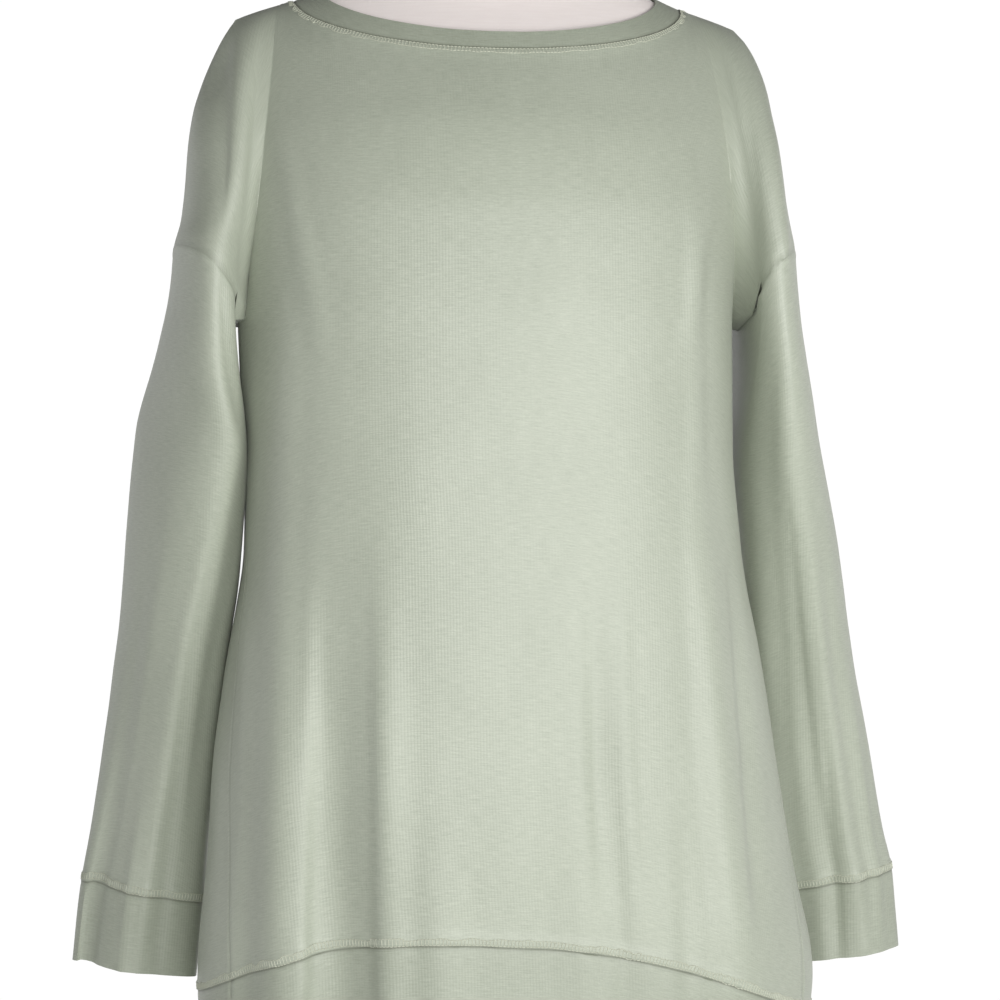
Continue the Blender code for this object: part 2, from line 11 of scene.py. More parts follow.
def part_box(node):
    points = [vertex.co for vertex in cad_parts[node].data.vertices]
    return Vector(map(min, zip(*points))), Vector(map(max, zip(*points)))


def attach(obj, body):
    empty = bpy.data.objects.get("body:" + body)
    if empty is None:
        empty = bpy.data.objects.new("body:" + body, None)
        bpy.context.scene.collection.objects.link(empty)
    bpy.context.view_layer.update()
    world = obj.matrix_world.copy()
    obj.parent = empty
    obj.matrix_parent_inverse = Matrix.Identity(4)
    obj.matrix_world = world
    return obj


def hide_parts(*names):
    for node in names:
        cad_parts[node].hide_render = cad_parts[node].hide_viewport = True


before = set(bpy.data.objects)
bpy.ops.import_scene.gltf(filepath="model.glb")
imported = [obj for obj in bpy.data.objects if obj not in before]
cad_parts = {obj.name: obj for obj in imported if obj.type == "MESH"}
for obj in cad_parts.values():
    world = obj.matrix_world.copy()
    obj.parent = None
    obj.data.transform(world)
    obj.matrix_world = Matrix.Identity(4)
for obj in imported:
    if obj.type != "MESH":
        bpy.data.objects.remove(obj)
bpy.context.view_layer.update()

# Grid of the cloth, in steps
FRONT_STEPS = 15
BACK_STEPS = 12
SHOULDER_STEPS = 3
CAP_STEPS = 8
CAP_CROWDING = 0.35
NECK_CROWDING = 1.25
COLUMN_LEAN = 4

# Heights of the cut, and how square the armhole seam is on the left (1) and right (-1)
UNDERARM_Z = 1.130
ARMHOLE_TOP_Z = 1.190
ARMHOLE_BEND = {1: 0.22, -1: 0.34}
SHOULDER_TIP_X = 0.190
CUFF_HEIGHT = 0.0585
HEM_BAND_HEIGHT = 0.058

# Neckline seam and the free edge of the neckband, seen from the front
NECK_SEAM_X = 0.147
NECK_EDGE_X = 0.128
NECK_FRONT_SEAM_Z = 1.330
NECK_FRONT_EDGE_Z = 1.343
NECK_BACK_SEAM_Z = 1.381
NECK_BACK_EDGE_Z = 1.392

# Hem seam, arched at the front and the back. The arch is turned a little to the
# wearer's right, in degrees, and the left side hangs lower
HEM_SIDE_Z = 0.6225
HEM_FRONT_RISE = 0.0585
HEM_BACK_RISE = 0.016
HEM_ARCH_TURN = -10.0
HEM_TILT = 0.008

# Roundness of the body seen from the side, where it closes over the shoulders
FRONT_CLOSE = 1.9
BACK_CLOSE = 2.2

# Softness of the valley between body and sleeve cap, and width of its bottom
VALLEY_BLEND = 0.026
VALLEY_WIDTH = 0.009

# Body sections: height, half width, front depth, back depth, front squareness,
# back squareness, turn of the side seam to the front in degrees, sway along X
BODY = (
    (0.560, 0.2240, 0.1400, 0.128, 2.30, 1.95, 26.0, 0.014),
    (0.600, 0.2300, 0.1470, 0.133, 2.30, 1.95, 26.0, 0.015),
    (0.640, 0.2336, 0.1520, 0.135, 2.35, 1.95, 26.0, 0.015),
    (0.735, 0.2210, 0.1530, 0.131, 2.40, 1.95, 20.0, 0.010),
    (0.811, 0.2124, 0.1520, 0.127, 2.45, 2.00, 16.0, 0.006),
    (0.887, 0.2005, 0.1500, 0.123, 2.50, 2.05, 12.0, 0.005),
    (0.963, 0.1880, 0.1480, 0.119, 2.50, 2.10, 8.0, 0.004),
    (1.039, 0.1850, 0.1460, 0.116, 2.50, 2.20, 4.0, 0.001),
    (1.130, 0.1865, 0.1442, 0.117, 2.45, 2.30, 0.0, 0.000),
    (1.165, 0.1885, 0.1443, 0.124, 2.40, 2.30, 0.0, 0.000),
    (1.190, 0.1900, 0.1452, 0.128, 2.40, 2.30, 0.0, 0.000),
    (1.220, 0.1915, 0.1468, 0.131, 2.40, 2.30, 0.0, 0.000),
    (1.250, 0.1925, 0.1467, 0.132, 2.40, 2.30, 0.0, 0.000),
    (1.270, 0.1930, 0.1458, 0.132, 2.40, 2.30, 0.0, 0.000),
    (1.300, 0.1935, 0.1406, 0.131, 2.40, 2.30, 0.0, 0.000),
    (1.330, 0.1940, 0.1358, 0.129, 2.40, 2.30, 0.0, 0.000),
    (1.430, 0.1940, 0.1320, 0.118, 2.40, 2.30, 0.0, 0.000),
)

# Shoulder line seen from the front: distance from the centre, height
SHOULDER = (
    (0.000, 1.4250),
    (0.060, 1.4140),
    (0.100, 1.3970),
    (0.128, 1.3835),
    (0.147, 1.3755),
    (0.170, 1.3680),
    (0.190, 1.3610),
)

TIP_Z = SHOULDER[-1][1]

# Outline of the sleeve cap below the shoulder tip:
# height, reach on the wearer's left, reach on the wearer's right
CAP_LINE = (
    (1.130, 0.2438, 0.2448),
    (1.160, 0.2385, 0.2405),
    (1.190, 0.2337, 0.2365),
    (1.210, 0.2297, 0.2312),
    (1.235, 0.2258, 0.2280),
    (1.265, 0.2210, 0.2258),
    (1.290, 0.2156, 0.2222),
    (1.310, 0.2125, 0.2160),
    (1.335, 0.2066, 0.2055),
    (1.350, 0.2000, 0.1980),
    (1.361, 0.1900, 0.1900),
)

# Sleeve cap sections: height, inner edge, body side of the valley,
# front depth, back depth
CAP = (
    (1.130, 0.1885, 0.1865, 0.084, 0.090),
    (1.160, 0.1830, 0.1835, 0.087, 0.093),
    (1.190, 0.1780, 0.1805, 0.090, 0.096),
    (1.250, 0.1690, 0.1745, 0.093, 0.097),
    (1.300, 0.1630, 0.1690, 0.094, 0.096),
    (1.361, 0.1560, 0.1620, 0.094, 0.094),
)

# Sleeve sections from the armhole to the cuff's lower edge: middle height,
# left inner and outer reach, right inner and outer reach, middle depth, half depth,
# rise of the outer edge over the inner edge, and the right sleeve's lean, which
# brings its front in where it is negative
SLEEVE = (
    (1.160, 0.1955, 0.2337, 0.1955, 0.2365, 0.004, 0.092, 0.060, -0.12),
    (1.105, 0.1930, 0.2440, 0.1890, 0.2480, 0.008, 0.088, 0.044, -0.12),
    (1.040, 0.1940, 0.2560, 0.1875, 0.2585, 0.015, 0.080, 0.032, -0.24),
    (0.962, 0.2010, 0.2757, 0.1880, 0.2690, 0.025, 0.067, 0.024, -0.19),
    (0.885, 0.2090, 0.2912, 0.1950, 0.2785, 0.038, 0.055, 0.018, -0.12),
    (0.805, 0.2180, 0.3095, 0.2020, 0.2900, 0.050, 0.042, 0.016, -0.12),
    (0.735, 0.2280, 0.3240, 0.2085, 0.3020, 0.055, 0.032, 0.016, -0.12),
    (0.700, 0.2340, 0.3325, 0.2110, 0.3083, 0.056, 0.029, 0.017, -0.12),
    (0.668, 0.2375, 0.3360, 0.2140, 0.3125, 0.057, 0.026, 0.015, -0.12),
    (0.636, 0.2400, 0.3387, 0.2170, 0.3163, 0.057, 0.024, 0.013, -0.12),
)
CUFF_SEAM_Z = 0.700

# Main folds of the front: X and height where one begins, X at the hem,
# half width, height of the ridge (a trough is negative)
FRONT_FOLDS = (
    (-0.120, 1.080, -0.134, 0.036, -0.013),
    (-0.158, 1.000, -0.180, 0.024, 0.007),
    (-0.184, 1.060, -0.204, 0.014, -0.003),
    (-0.062, 0.860, -0.070, 0.032, 0.005),
    (0.054, 1.000, 0.067, 0.018, -0.006),
    (0.132, 1.100, 0.170, 0.032, 0.006),
    (0.018, 0.800, 0.022, 0.028, -0.003),
)

# Main folds of the back, the same columns
BACK_FOLDS = (
    (-0.110, 1.050, -0.128, 0.032, -0.010),
    (-0.060, 0.950, -0.066, 0.028, 0.006),
    (0.004, 1.000, 0.002, 0.034, -0.009),
    (0.068, 0.980, 0.078, 0.028, 0.006),
    (0.116, 1.060, 0.140, 0.030, -0.011),
)

# Long folds of the sleeves: side, turn round the sleeve at the top and at the
# cuff in degrees (0 outside, 90 front, 180 inside), height where one begins,
# half width in degrees, height of the ridge
SLEEVE_FOLDS = (
    ("right", 62.0, 42.0, 1.060, 40.0, -0.011),
    ("right", 112.0, 92.0, 1.020, 40.0, 0.004),
    ("right", 236.0, 250.0, 1.000, 40.0, -0.008),
    ("right", 300.0, 306.0, 0.980, 36.0, 0.003),
    ("left", 128.0, 132.0, 1.000, 38.0, -0.008),
    ("left", 84.0, 72.0, 1.040, 36.0, 0.004),
    ("left", 240.0, 232.0, 0.980, 40.0, -0.009),
    ("left", 296.0, 290.0, 1.000, 36.0, 0.003),
)

# Dress form sections: height, half width, front depth, back depth
FORM = (
    (0.742, 0.1660, 0.108, 0.106),
    (0.750, 0.1720, 0.113, 0.111),
    (0.800, 0.1760, 0.116, 0.114),
    (0.870, 0.1700, 0.112, 0.109),
    (0.945, 0.1450, 0.100, 0.094),
    (1.010, 0.1300, 0.094, 0.088),
    (1.080, 0.1400, 0.106, 0.094),
    (1.150, 0.1560, 0.122, 0.102),
    (1.200, 0.1620, 0.127, 0.106),
    (1.250, 0.1640, 0.119, 0.108),
    (1.300, 0.1650, 0.103, 0.101),
    (1.330, 0.1640, 0.088, 0.086),
    (1.352, 0.1600, 0.070, 0.067),
    (1.3665, 0.1500, 0.057, 0.053),
    (1.3787, 0.1310, 0.048, 0.044),
    (1.3882, 0.1110, 0.046, 0.043),
    (1.399, 0.0860, 0.048, 0.046),
    (1.414, 0.0660, 0.050, 0.049),
    (1.440, 0.0570, 0.052, 0.052),
    (1.470, 0.0545, 0.0525, 0.0525),
)
FORM_POWER = 0.88
POLE_RADIUS = 0.0125
COLLAR_RADIUS = 0.026
COLLAR_HEIGHT = 0.030
BASE_RADIUS = 0.170
BASE_HEIGHT = 0.014
BASE_EDGE = 0.004

# Sleeve sections sorted from the lowest up
SLEEVE_UP = tuple(sorted(SLEEVE))

# Fineness of the cloth, in columns to a step of the cut
BODY_FINENESS = 4
CAP_FINENESS = 4

# Cloth walls, single and in the doubled bands
WALL = 0.0009
BAND_WALL = 0.0016
BANDS = {"cuff_left", "cuff_right", "hem_band_front", "hem_band_back", "neckband"}
MERGE = 0.00002

# Seams: depth and reach of the line, the pressed allowance beside a stitched one,
# the low ridge beside a plain one, and the painted shadow that darkens the line in both
SEAM_DEPTH = 0.0006
PLAIN_SEAM_DEPTH = 0.0003
PLAIN_SEAM_RIDGE = 0.0004
PLAIN_SEAM_SHADOW_SHARE = 0.35
SEAM_REACH = 0.0010
ALLOWANCE_WIDTH = 0.0078
ALLOWANCE_HEIGHT = 0.0005
ALLOWANCE_EDGE = 0.001
PLAIN_RIDGE_AWAY = 0.003
PLAIN_RIDGE_REACH = 0.0015
SEAM_SAMPLE = 0.0006
SEAM_SHADOW_STRENGTH = 0.75

# Soft unevenness between the creases: its height, and the fineness of its two waves
UNEVENNESS = 0.0007
SOFT_SCALES = (11.0, 27.0)

# Cover stitching: distances of the two needle rows from the seam, and the thread
HEM_ROWS = (0.0014, 0.0066)
NECK_ROWS = (0.0012, 0.0050)
STITCH_LENGTH = 0.0028
LADDER_SPACING = 0.0026
THREAD_RADIUS = 0.00045
THREAD_ARCH = 0.00012
THREAD_LIFT = 0.3
STITCH_GAP = 0.08
CROSS_THREAD_SHARE = 0.8
LINE_STEP = 0.1
NECK_MIDDLE = Vector((0.0, 0.0, 1.40))

# Creases grow to their full height over the first share of their length and fade
# from the second. Those of a panel also fade near its side, over a depth
CREASE_START = 0.4
CREASE_END = 0.7
SIDE_FADE = 0.035

# Creases of the cloth over its main folds. Columns: X and height of the top end,
# X and height of the low end, half width at both, height (a trough is negative),
# lean of the crest. On the sleeves the first and third are places round the tube,
# in degrees by the columns of the cut, from the inner side over the front
FRONT_CREASES = (
    (-0.130, 1.010, -0.142, 0.420, 0.026, 0.026, -0.0050, 0.40),
    (-0.096, 1.000, -0.090, 0.420, 0.018, 0.018, 0.0042, 0.45),
    (-0.156, 1.220, -0.176, 0.520, 0.016, 0.018, 0.0030, 0.00),
    (-0.192, 1.060, -0.206, 0.640, 0.009, 0.010, -0.0024, 0.20),
    (0.056, 1.020, 0.068, 0.420, 0.011, 0.012, -0.0024, -0.30),
    (0.076, 1.000, 0.090, 0.440, 0.012, 0.014, 0.0018, -0.20),
    (0.134, 1.120, 0.168, 0.560, 0.020, 0.022, 0.0030, 0.00),
    (0.166, 1.000, 0.188, 0.640, 0.010, 0.013, -0.0034, 0.30),
    (0.016, 0.900, 0.022, 0.420, 0.022, 0.026, -0.0012, 0.00),
    (0.122, 0.820, 0.136, 0.440, 0.012, 0.014, -0.0016, 0.00),
    (0.168, 1.300, 0.120, 1.060, 0.012, 0.014, 0.0016, 0.00),
    (-0.168, 1.300, -0.130, 1.080, 0.012, 0.014, 0.0016, 0.00),
    (0.188, 1.400, 0.192, 0.960, 0.012, 0.013, -0.0032, 0.00),
    (0.138, 1.300, 0.140, 0.960, 0.012, 0.012, 0.0020, 0.00),
    (-0.208, 1.460, -0.206, 1.165, 0.020, 0.020, -0.0075, 0.00),
    (-0.182, 1.400, -0.184, 0.900, 0.012, 0.012, 0.0010, 0.00),
    (-0.194, 1.175, -0.194, 1.045, 0.018, 0.018, 0.0080, 0.00),
    (0.206, 1.420, 0.212, 1.100, 0.012, 0.012, 0.0030, 0.00),
)
BACK_CREASES = (
    (-0.112, 1.100, -0.128, 0.420, 0.018, 0.020, -0.0040, 0.30),
    (-0.085, 1.040, -0.098, 0.420, 0.014, 0.016, 0.0030, -0.20),
    (-0.020, 1.080, -0.014, 0.420, 0.016, 0.020, -0.0030, 0.20),
    (0.022, 1.020, 0.030, 0.420, 0.016, 0.020, 0.0026, 0.00),
    (0.098, 1.120, 0.118, 0.420, 0.018, 0.018, -0.0040, -0.30),
    (0.128, 1.060, 0.158, 0.440, 0.014, 0.016, 0.0028, 0.00),
    (0.168, 1.290, 0.112, 1.040, 0.012, 0.014, 0.0026, 0.00),
    (-0.168, 1.300, -0.105, 1.050, 0.012, 0.014, 0.0026, 0.00),
    (0.146, 1.280, 0.080, 1.080, 0.012, 0.016, -0.0020, 0.00),
    (-0.150, 1.280, -0.080, 1.080, 0.012, 0.016, -0.0020, 0.00),
    (-0.200, 1.280, -0.190, 1.150, 0.008, 0.008, -0.0026, 0.00),
    (0.198, 1.280, 0.190, 1.150, 0.008, 0.008, -0.0026, 0.00),
    (-0.060, 0.900, -0.066, 0.420, 0.012, 0.016, 0.0022, 0.00),
    (0.066, 0.880, 0.070, 0.430, 0.012, 0.014, -0.0024, 0.00),
)
LEFT_CREASES = (
    (40.0, 1.140, 52.0, 0.800, 32.0, 32.0, -0.0036, 0.00),
    (68.0, 1.080, 88.0, 0.560, 16.0, 18.0, -0.0034, -0.40),
    (92.0, 1.060, 114.0, 0.560, 14.0, 18.0, 0.0028, 0.20),
    (120.0, 1.040, 128.0, 0.600, 16.0, 20.0, -0.0022, 0.00),
    (150.0, 0.900, 130.0, 0.600, 12.0, 16.0, 0.0022, 0.00),
    (102.0, 0.860, 76.0, 0.600, 10.0, 14.0, -0.0024, -0.20),
    (206.0, 1.150, 238.0, 0.900, 14.0, 18.0, -0.0030, 0.00),
    (232.0, 1.100, 250.0, 0.620, 14.0, 18.0, -0.0026, 0.00),
    (260.0, 1.040, 272.0, 0.580, 14.0, 18.0, 0.0026, 0.00),
    (300.0, 1.100, 292.0, 0.620, 18.0, 20.0, -0.0020, 0.00),
    (320.0, 0.900, 300.0, 0.600, 12.0, 16.0, 0.0020, 0.00),
)
RIGHT_CREASES = (
    (42.0, 1.100, 44.0, 0.700, 30.0, 32.0, -0.0036, 0.00),
    (20.0, 1.190, 20.0, 1.030, 30.0, 30.0, 0.0045, 0.00),
    (88.0, 1.060, 92.0, 0.560, 15.0, 16.0, 0.0026, 0.30),
    (170.0, 1.080, 176.0, 0.440, 28.0, 30.0, -0.0100, -0.20),
    (112.0, 0.800, 104.0, 0.560, 9.0, 9.0, 0.0028, 0.00),
    (74.0, 0.880, 68.0, 0.600, 12.0, 16.0, -0.0022, 0.00),
    (210.0, 1.150, 236.0, 0.920, 14.0, 18.0, -0.0030, 0.00),
    (240.0, 1.080, 256.0, 0.600, 14.0, 18.0, -0.0026, 0.00),
    (268.0, 1.060, 280.0, 0.600, 14.0, 18.0, 0.0026, 0.00),
    (306.0, 1.100, 296.0, 0.620, 18.0, 20.0, -0.0020, 0.00),
)

# Dress form and stand. The neck cap's crown is given as shares of its radius and
# drops from its top, and its side as a drop, both drops in sizes of its edge
TORSO_RINGS = 180
TORSO_COLUMNS = 160
COVER_SEAM_DEPTH = 0.0006
COVER_SEAM_REACH = 0.0012
CAP_RADIUS = 0.058
CAP_EDGE = 0.0045
CAP_SIDE_DROP = 3.2
CAP_CROWN = ((0.72, 0.9), (0.45, 0.3), (0.15, 0.0))
POLE_STEPS = 12
FOOT_LOW_EDGE = 0.001
COLLAR_EDGE = 0.002
LATHE_STEPS = 128
EDGE_STEPS = 5
SHARP_ANGLE = 55.0

# Colours, linear
JERSEY_DARK = (0.325, 0.355, 0.285, 1.0)
JERSEY_LIGHT = (0.455, 0.490, 0.405, 1.0)
BAND_DARK = (0.290, 0.318, 0.252, 1.0)
BAND_LIGHT = (0.405, 0.438, 0.358, 1.0)
# Dark colour painted into the seam lines as their shadow
SEAM_SHADOW_COLOUR = (0.120, 0.130, 0.095, 1.0)
THREAD_DARK = (0.42, 0.44, 0.34, 1.0)
THREAD_LIGHT = (0.62, 0.64, 0.54, 1.0)
COVER_DARK = (0.86, 0.78, 0.76, 1.0)
COVER_LIGHT = (0.97, 0.91, 0.89, 1.0)
WOOD_DARK = (0.12, 0.060, 0.028, 1.0)
WOOD_LIGHT = (0.34, 0.19, 0.10, 1.0)
STEEL_DARK = (0.48, 0.48, 0.49, 1.0)
STEEL_LIGHT = (0.68, 0.68, 0.69, 1.0)
FLOOR_DARK = (0.78, 0.78, 0.77, 1.0)
FLOOR_LIGHT = (0.84, 0.84, 0.83, 1.0)
FLOOR_GLOW = 0.12
JERSEY_SHEEN = 0.1
JERSEY_GLOSS = 0.6
SHEEN_ROUGHNESS = 0.45
WALE_SCALE = 140.0
COVER_SCALE = 340.0

# Studio: the photograph's camera and soft lights at chest height. The sky is white up
# to the first steepness and dim from the second; then come both strengths. A soft box
# has a place, a width and height, a power and a colour
CAMERA_TURN = 8.0
CAMERA_DISTANCE = 2.4
CAMERA_HEIGHT = 1.0
METRES_PER_PIXEL = 0.00076
IMAGE_SIZE = 1000
CAMERA_SHIFT = 14.0
CAMERA_REACH = 60.0
SENSOR_WIDTH = 36.0
LIGHT_TARGET = Vector((0.0, 0.0, 1.0))
SKY_COLOUR = (1.0, 1.0, 0.995)
SKY_RANGE = (0.165, 0.33, 1.02, 0.07)
FLOOR_RADIUS = 1.9
FLOOR_GAP = 0.0005
SOFTBOXES = (
    ("key_box", (1.20, -2.05, 1.08), (0.9, 0.9), 24.0, (1.0, 0.995, 0.98)),
    ("front_box", (-0.05, -2.3, 1.05), (1.1, 0.8), 21.0, (1.0, 0.995, 0.985)),
)


def spline(rows, at, column):
    """Smooth, never overshooting curve through one column of a table."""
    keys = [row[0] for row in rows]
    values = [row[column] for row in rows]
    if at <= keys[0]:
        return values[0]
    if at >= keys[-1]:
        return values[-1]
    steps = [b - a for a, b in zip(keys, keys[1:])]
    slopes = [(b - a) / h for a, b, h in zip(values, values[1:], steps)]
    tangents = [slopes[0]]
    for before, after in zip(slopes, slopes[1:]):
        same_way = before * after > 0.0
        tangents.append(2.0 * before * after / (before + after) if same_way else 0.0)
    tangents.append(slopes[-1])
    k = next(i for i in range(len(steps)) if at <= keys[i + 1])
    u = (at - keys[k]) / steps[k]
    return (
        values[k] * (1.0 + 2.0 * u) * (1.0 - u) ** 2
        + tangents[k] * steps[k] * u * (1.0 - u) ** 2
        + values[k + 1] * u * u * (3.0 - 2.0 * u)
        + tangents[k + 1] * steps[k] * u * u * (u - 1.0)
    )


def smooth(value, low, high):
    """Rise from 0 at low to 1 at high, level at both ends."""
    u = min(1.0, max(0.0, (value - low) / (high - low)))
    return u * u * (3.0 - 2.0 * u)


def mix(a, b, share):
    """Value or vector between a and b."""
    return a * (1.0 - share) + b * share


def rounded(value, power):
    """Height of a squared circle of radius 1 over its centre line."""
    return max(0.0, 1.0 - min(1.0, abs(value)) ** power) ** (1.0 / power)


def soft_max(a, b, blend):
    """The larger of two values, with a soft change over from one to the other."""
    if blend <= 0.0:
        return max(a, b)
    share = min(1.0, max(0.0, 0.5 + 0.5 * (a - b) / blend))
    return b + (a - b) * share + blend * share * (1.0 - share)


def bell(distance, half_width):
    """Soft hump that is 1 at the middle and 0 from the half width on."""
    if abs(distance) >= half_width:
        return 0.0
    return 0.5 + 0.5 * math.cos(math.pi * distance / half_width)


def body_fold(folds, x, z):
    """Height of the folds of a panel, which grow from their start to the hem."""
    total = 0.0
    for x_top, z_top, x_hem, half_width, height in folds:
        if z < z_top:
            share = smooth(z_top - z, 0.0, z_top - HEM_SIDE_Z)
            run = min(1.2, (z_top - z) / (z_top - HEM_SIDE_Z))
            total += height * share * bell(x - mix(x_top, x_hem, run), half_width)
    return total


def shoulder_z(x):
    """Height of the shoulder line at a distance from the centre."""
    return spline(SHOULDER, min(abs(x), SHOULDER_TIP_X), 1)


def cap_reach(side, z):
    """How far the sleeve cap reaches out at a height."""
    return spline(CAP_LINE, z, 1 if side > 0 else 2)


def body_ring(turn, z):
    """Point of the body's ring at a height. The turn is 0 at the centre front,
    90 at the widest place and 180 at the centre back, negative on the right."""
    front = abs(turn) <= 90.0
    angle = math.radians(abs(turn) if front else 180.0 - abs(turn))
    power = 2.0 / spline(BODY, z, 4 if front else 5)
    x = spline(BODY, z, 1) * math.sin(angle) ** power
    y = spline(BODY, z, 2 if front else 3) * max(0.0, math.cos(angle)) ** power
    x = math.copysign(x, turn)
    fade = smooth(math.cos(angle), 0.0, 0.45)
    y += body_fold(FRONT_FOLDS if front else BACK_FOLDS, x, z) * fade
    return Vector((x + spline(BODY, z, 7), -y if front else y, z))


def hem_z(turn):
    """Height of the hem seam round the body."""
    ahead = math.cos(math.radians(turn - HEM_ARCH_TURN))
    rise = HEM_FRONT_RISE if ahead > 0.0 else HEM_BACK_RISE
    return HEM_SIDE_Z + rise * ahead ** 2 - HEM_TILT * math.sin(math.radians(turn))


def lower_point(face, side, column, steps, row_share, below=0.0):
    """Point of a body column between the hem seam and the underarm. Below the
    seam it runs on into the hem band."""
    share = column / steps

    def turn_at(z):
        seam = 90.0 - spline(BODY, z, 6)
        return seam * share if face < 0 else 180.0 - (180.0 - seam) * share

    z = mix(hem_z(side * turn_at(HEM_SIDE_Z)), UNDERARM_Z, row_share) - below
    return body_ring(side * turn_at(z), z)


def shell_depth(face, side, x, z):
    """Depth of the cloth above the underarm at a place seen from the front."""
    close = FRONT_CLOSE if face < 0 else BACK_CLOSE
    half_width = spline(BODY, z, 1)
    if abs(x) < half_width:
        square = spline(BODY, z, 4 if face < 0 else 5)
        body = spline(BODY, z, 2 if face < 0 else 3) * rounded(x / half_width, square)
    else:
        body = 2.0 * (half_width - abs(x))
    inner = spline(CAP, z, 1)
    outer = cap_reach(side, z)
    across = (2.0 * abs(x) - inner - outer) / (outer - inner)
    cap = spline(CAP, z, 3 if face < 0 else 4) * rounded(across, 2.0)
    blend = VALLEY_BLEND * smooth(z, UNDERARM_Z, UNDERARM_Z + 0.07)
    close_share = rounded((z - UNDERARM_Z) / (shoulder_z(x) - UNDERARM_Z), close)
    return close_share * soft_max(body, cap, blend)


def neckline(face, share, seam):
    """Place on the neckline seen from the front, from 0 at the centre to 1 at
    the shoulder line. seam is 1 on the seam and 0 on the band's free edge."""
    half_width = mix(NECK_EDGE_X, NECK_SEAM_X, seam)
    if face < 0:
        middle_z = mix(NECK_FRONT_EDGE_Z, NECK_FRONT_SEAM_Z, seam)
    else:
        middle_z = mix(NECK_BACK_EDGE_Z, NECK_BACK_SEAM_Z, seam)
    angle = math.radians(90.0 * (1.0 - (1.0 - share) ** NECK_CROWDING))
    bend = 1.0 - math.cos(angle) if face < 0 else math.sin(angle) ** 2
    rise = shoulder_z(half_width) - middle_z
    return half_width * math.sin(angle), middle_z + rise * bend


def band_point(face, side, share, seam):
    """Point of the neckband, which carries on the slope of its panel."""
    x, z = neckline(face, share, seam)
    y = 0.0 if share >= 1.0 else shell_depth(face, side, x, z)
    return Vector((side * x, face * y, z))


def rise_share(row_share, end_share):
    """Share of a column's height reached at a row, in even steps of turn."""
    return math.sin(row_share * math.asin(min(1.0, end_share))) / end_share


def upper_point(face, side, column, steps, row_share):
    """Point of a body column between the underarm and the neckline or shoulder."""
    neck_steps = steps - SHOULDER_STEPS
    power = 2.0 / spline(BODY, UNDERARM_Z, 4 if face < 0 else 5)
    x_low = math.sin(math.radians(90.0 * column / steps)) ** power
    if column <= neck_steps:
        x_top, z_top = neckline(face, column / neck_steps, 1.0)
    else:
        past = (column - neck_steps) / SHOULDER_STEPS
        x_top = mix(NECK_SEAM_X, spline(CAP, TIP_Z, 2), past)
        z_top = shoulder_z(x_top)
    full = (z_top - UNDERARM_Z) / (shoulder_z(x_top) - UNDERARM_Z)
    z = mix(UNDERARM_Z, z_top, rise_share(row_share, full))
    x = mix(x_low * spline(CAP, z, 2), x_top, row_share ** COLUMN_LEAN)
    on_shoulder = row_share >= 1.0 and column >= neck_steps
    y = 0.0 if on_shoulder else shell_depth(face, side, x, z)
    if row_share <= 0.0:
        return body_ring(side * (90.0 * column / steps if face < 0
                                 else 180.0 - 90.0 * column / steps), z)
    return Vector((side * x, face * y, z))


def cap_across(column):
    """Share of the cap's width at a column, closer together at both ends."""
    share = column / CAP_STEPS
    return mix(share, 0.5 - 0.5 * math.cos(math.pi * share), CAP_CROWDING)


def cap_point(face, side, column, row_share):
    """Point of the sleeve cap, from the valley to the shoulder seam. Column -1
    is the body's side of the valley."""
    if column < 0:
        return upper_point(face, side, FRONT_STEPS, FRONT_STEPS, row_share)
    across = cap_across(column)
    share = rise_share(row_share, 1.0)
    valley_top = spline(CAP, TIP_Z, 2) + VALLEY_WIDTH
    x_top = mix(valley_top, SHOULDER_TIP_X, across)
    z_low = mix(UNDERARM_Z, ARMHOLE_TOP_Z, across ** ARMHOLE_BEND[side])
    z = mix(z_low, shoulder_z(x_top), share)
    valley_z = mix(UNDERARM_Z, shoulder_z(valley_top), share)
    valley = spline(CAP, valley_z, 2) + VALLEY_WIDTH
    reach = cap_reach(side, mix(ARMHOLE_TOP_Z, TIP_Z, share))
    x = mix(valley, reach, across)
    underarm = row_share <= 0.0 and column == 0
    on_seam = underarm or row_share >= 1.0 or column == CAP_STEPS
    y = 0.0 if on_seam else shell_depth(face, side, x, z)
    return Vector((side * x, face * y, z))


def sleeve_middle(side, z_middle):
    """Middle of a sleeve section and its half width."""
    inner = spline(SLEEVE_UP, z_middle, 1 if side > 0 else 3)
    outer = spline(SLEEVE_UP, z_middle, 2 if side > 0 else 4)
    depth = spline(SLEEVE_UP, z_middle, 5)
    return Vector((side * 0.5 * (inner + outer), depth, z_middle)), 0.5 * (outer - inner)


def sleeve_fold(side, turn, z):
    """Height of the sleeve's long folds at a turn round the sleeve."""
    total = 0.0
    for name, turn_top, turn_cuff, z_top, half_width, height in SLEEVE_FOLDS:
        if (name == "left") == (side > 0) and z < z_top:
            run = (z_top - z) / (z_top - CUFF_SEAM_Z)
            away = (turn - mix(turn_top, turn_cuff, min(1.2, run)) + 180.0) % 360.0 - 180.0
            total += height * smooth(run, 0.0, 1.0) * bell(away, half_width)
    return total


def sleeve_ring(side, turn, z_middle):
    """Point of a sleeve or cuff section: 0 is outside, 90 front, 180 inside."""
    middle, half_width = sleeve_middle(side, z_middle)
    half_depth = spline(SLEEVE_UP, z_middle, 6)
    rise = spline(SLEEVE_UP, z_middle, 7)
    across = math.cos(math.radians(turn))
    ahead = math.sin(math.radians(turn))
    out = Vector((across / half_width, -ahead / half_depth)).normalized()
    out *= sleeve_fold(side, turn, z_middle)
    lean = spline(SLEEVE_UP, z_middle, 8) if side < 0 else 0.0
    x = side * (half_width * across + lean * half_depth * ahead + out.x)
    return middle + Vector((x, out.y - half_depth * ahead, 0.5 * rise * across))


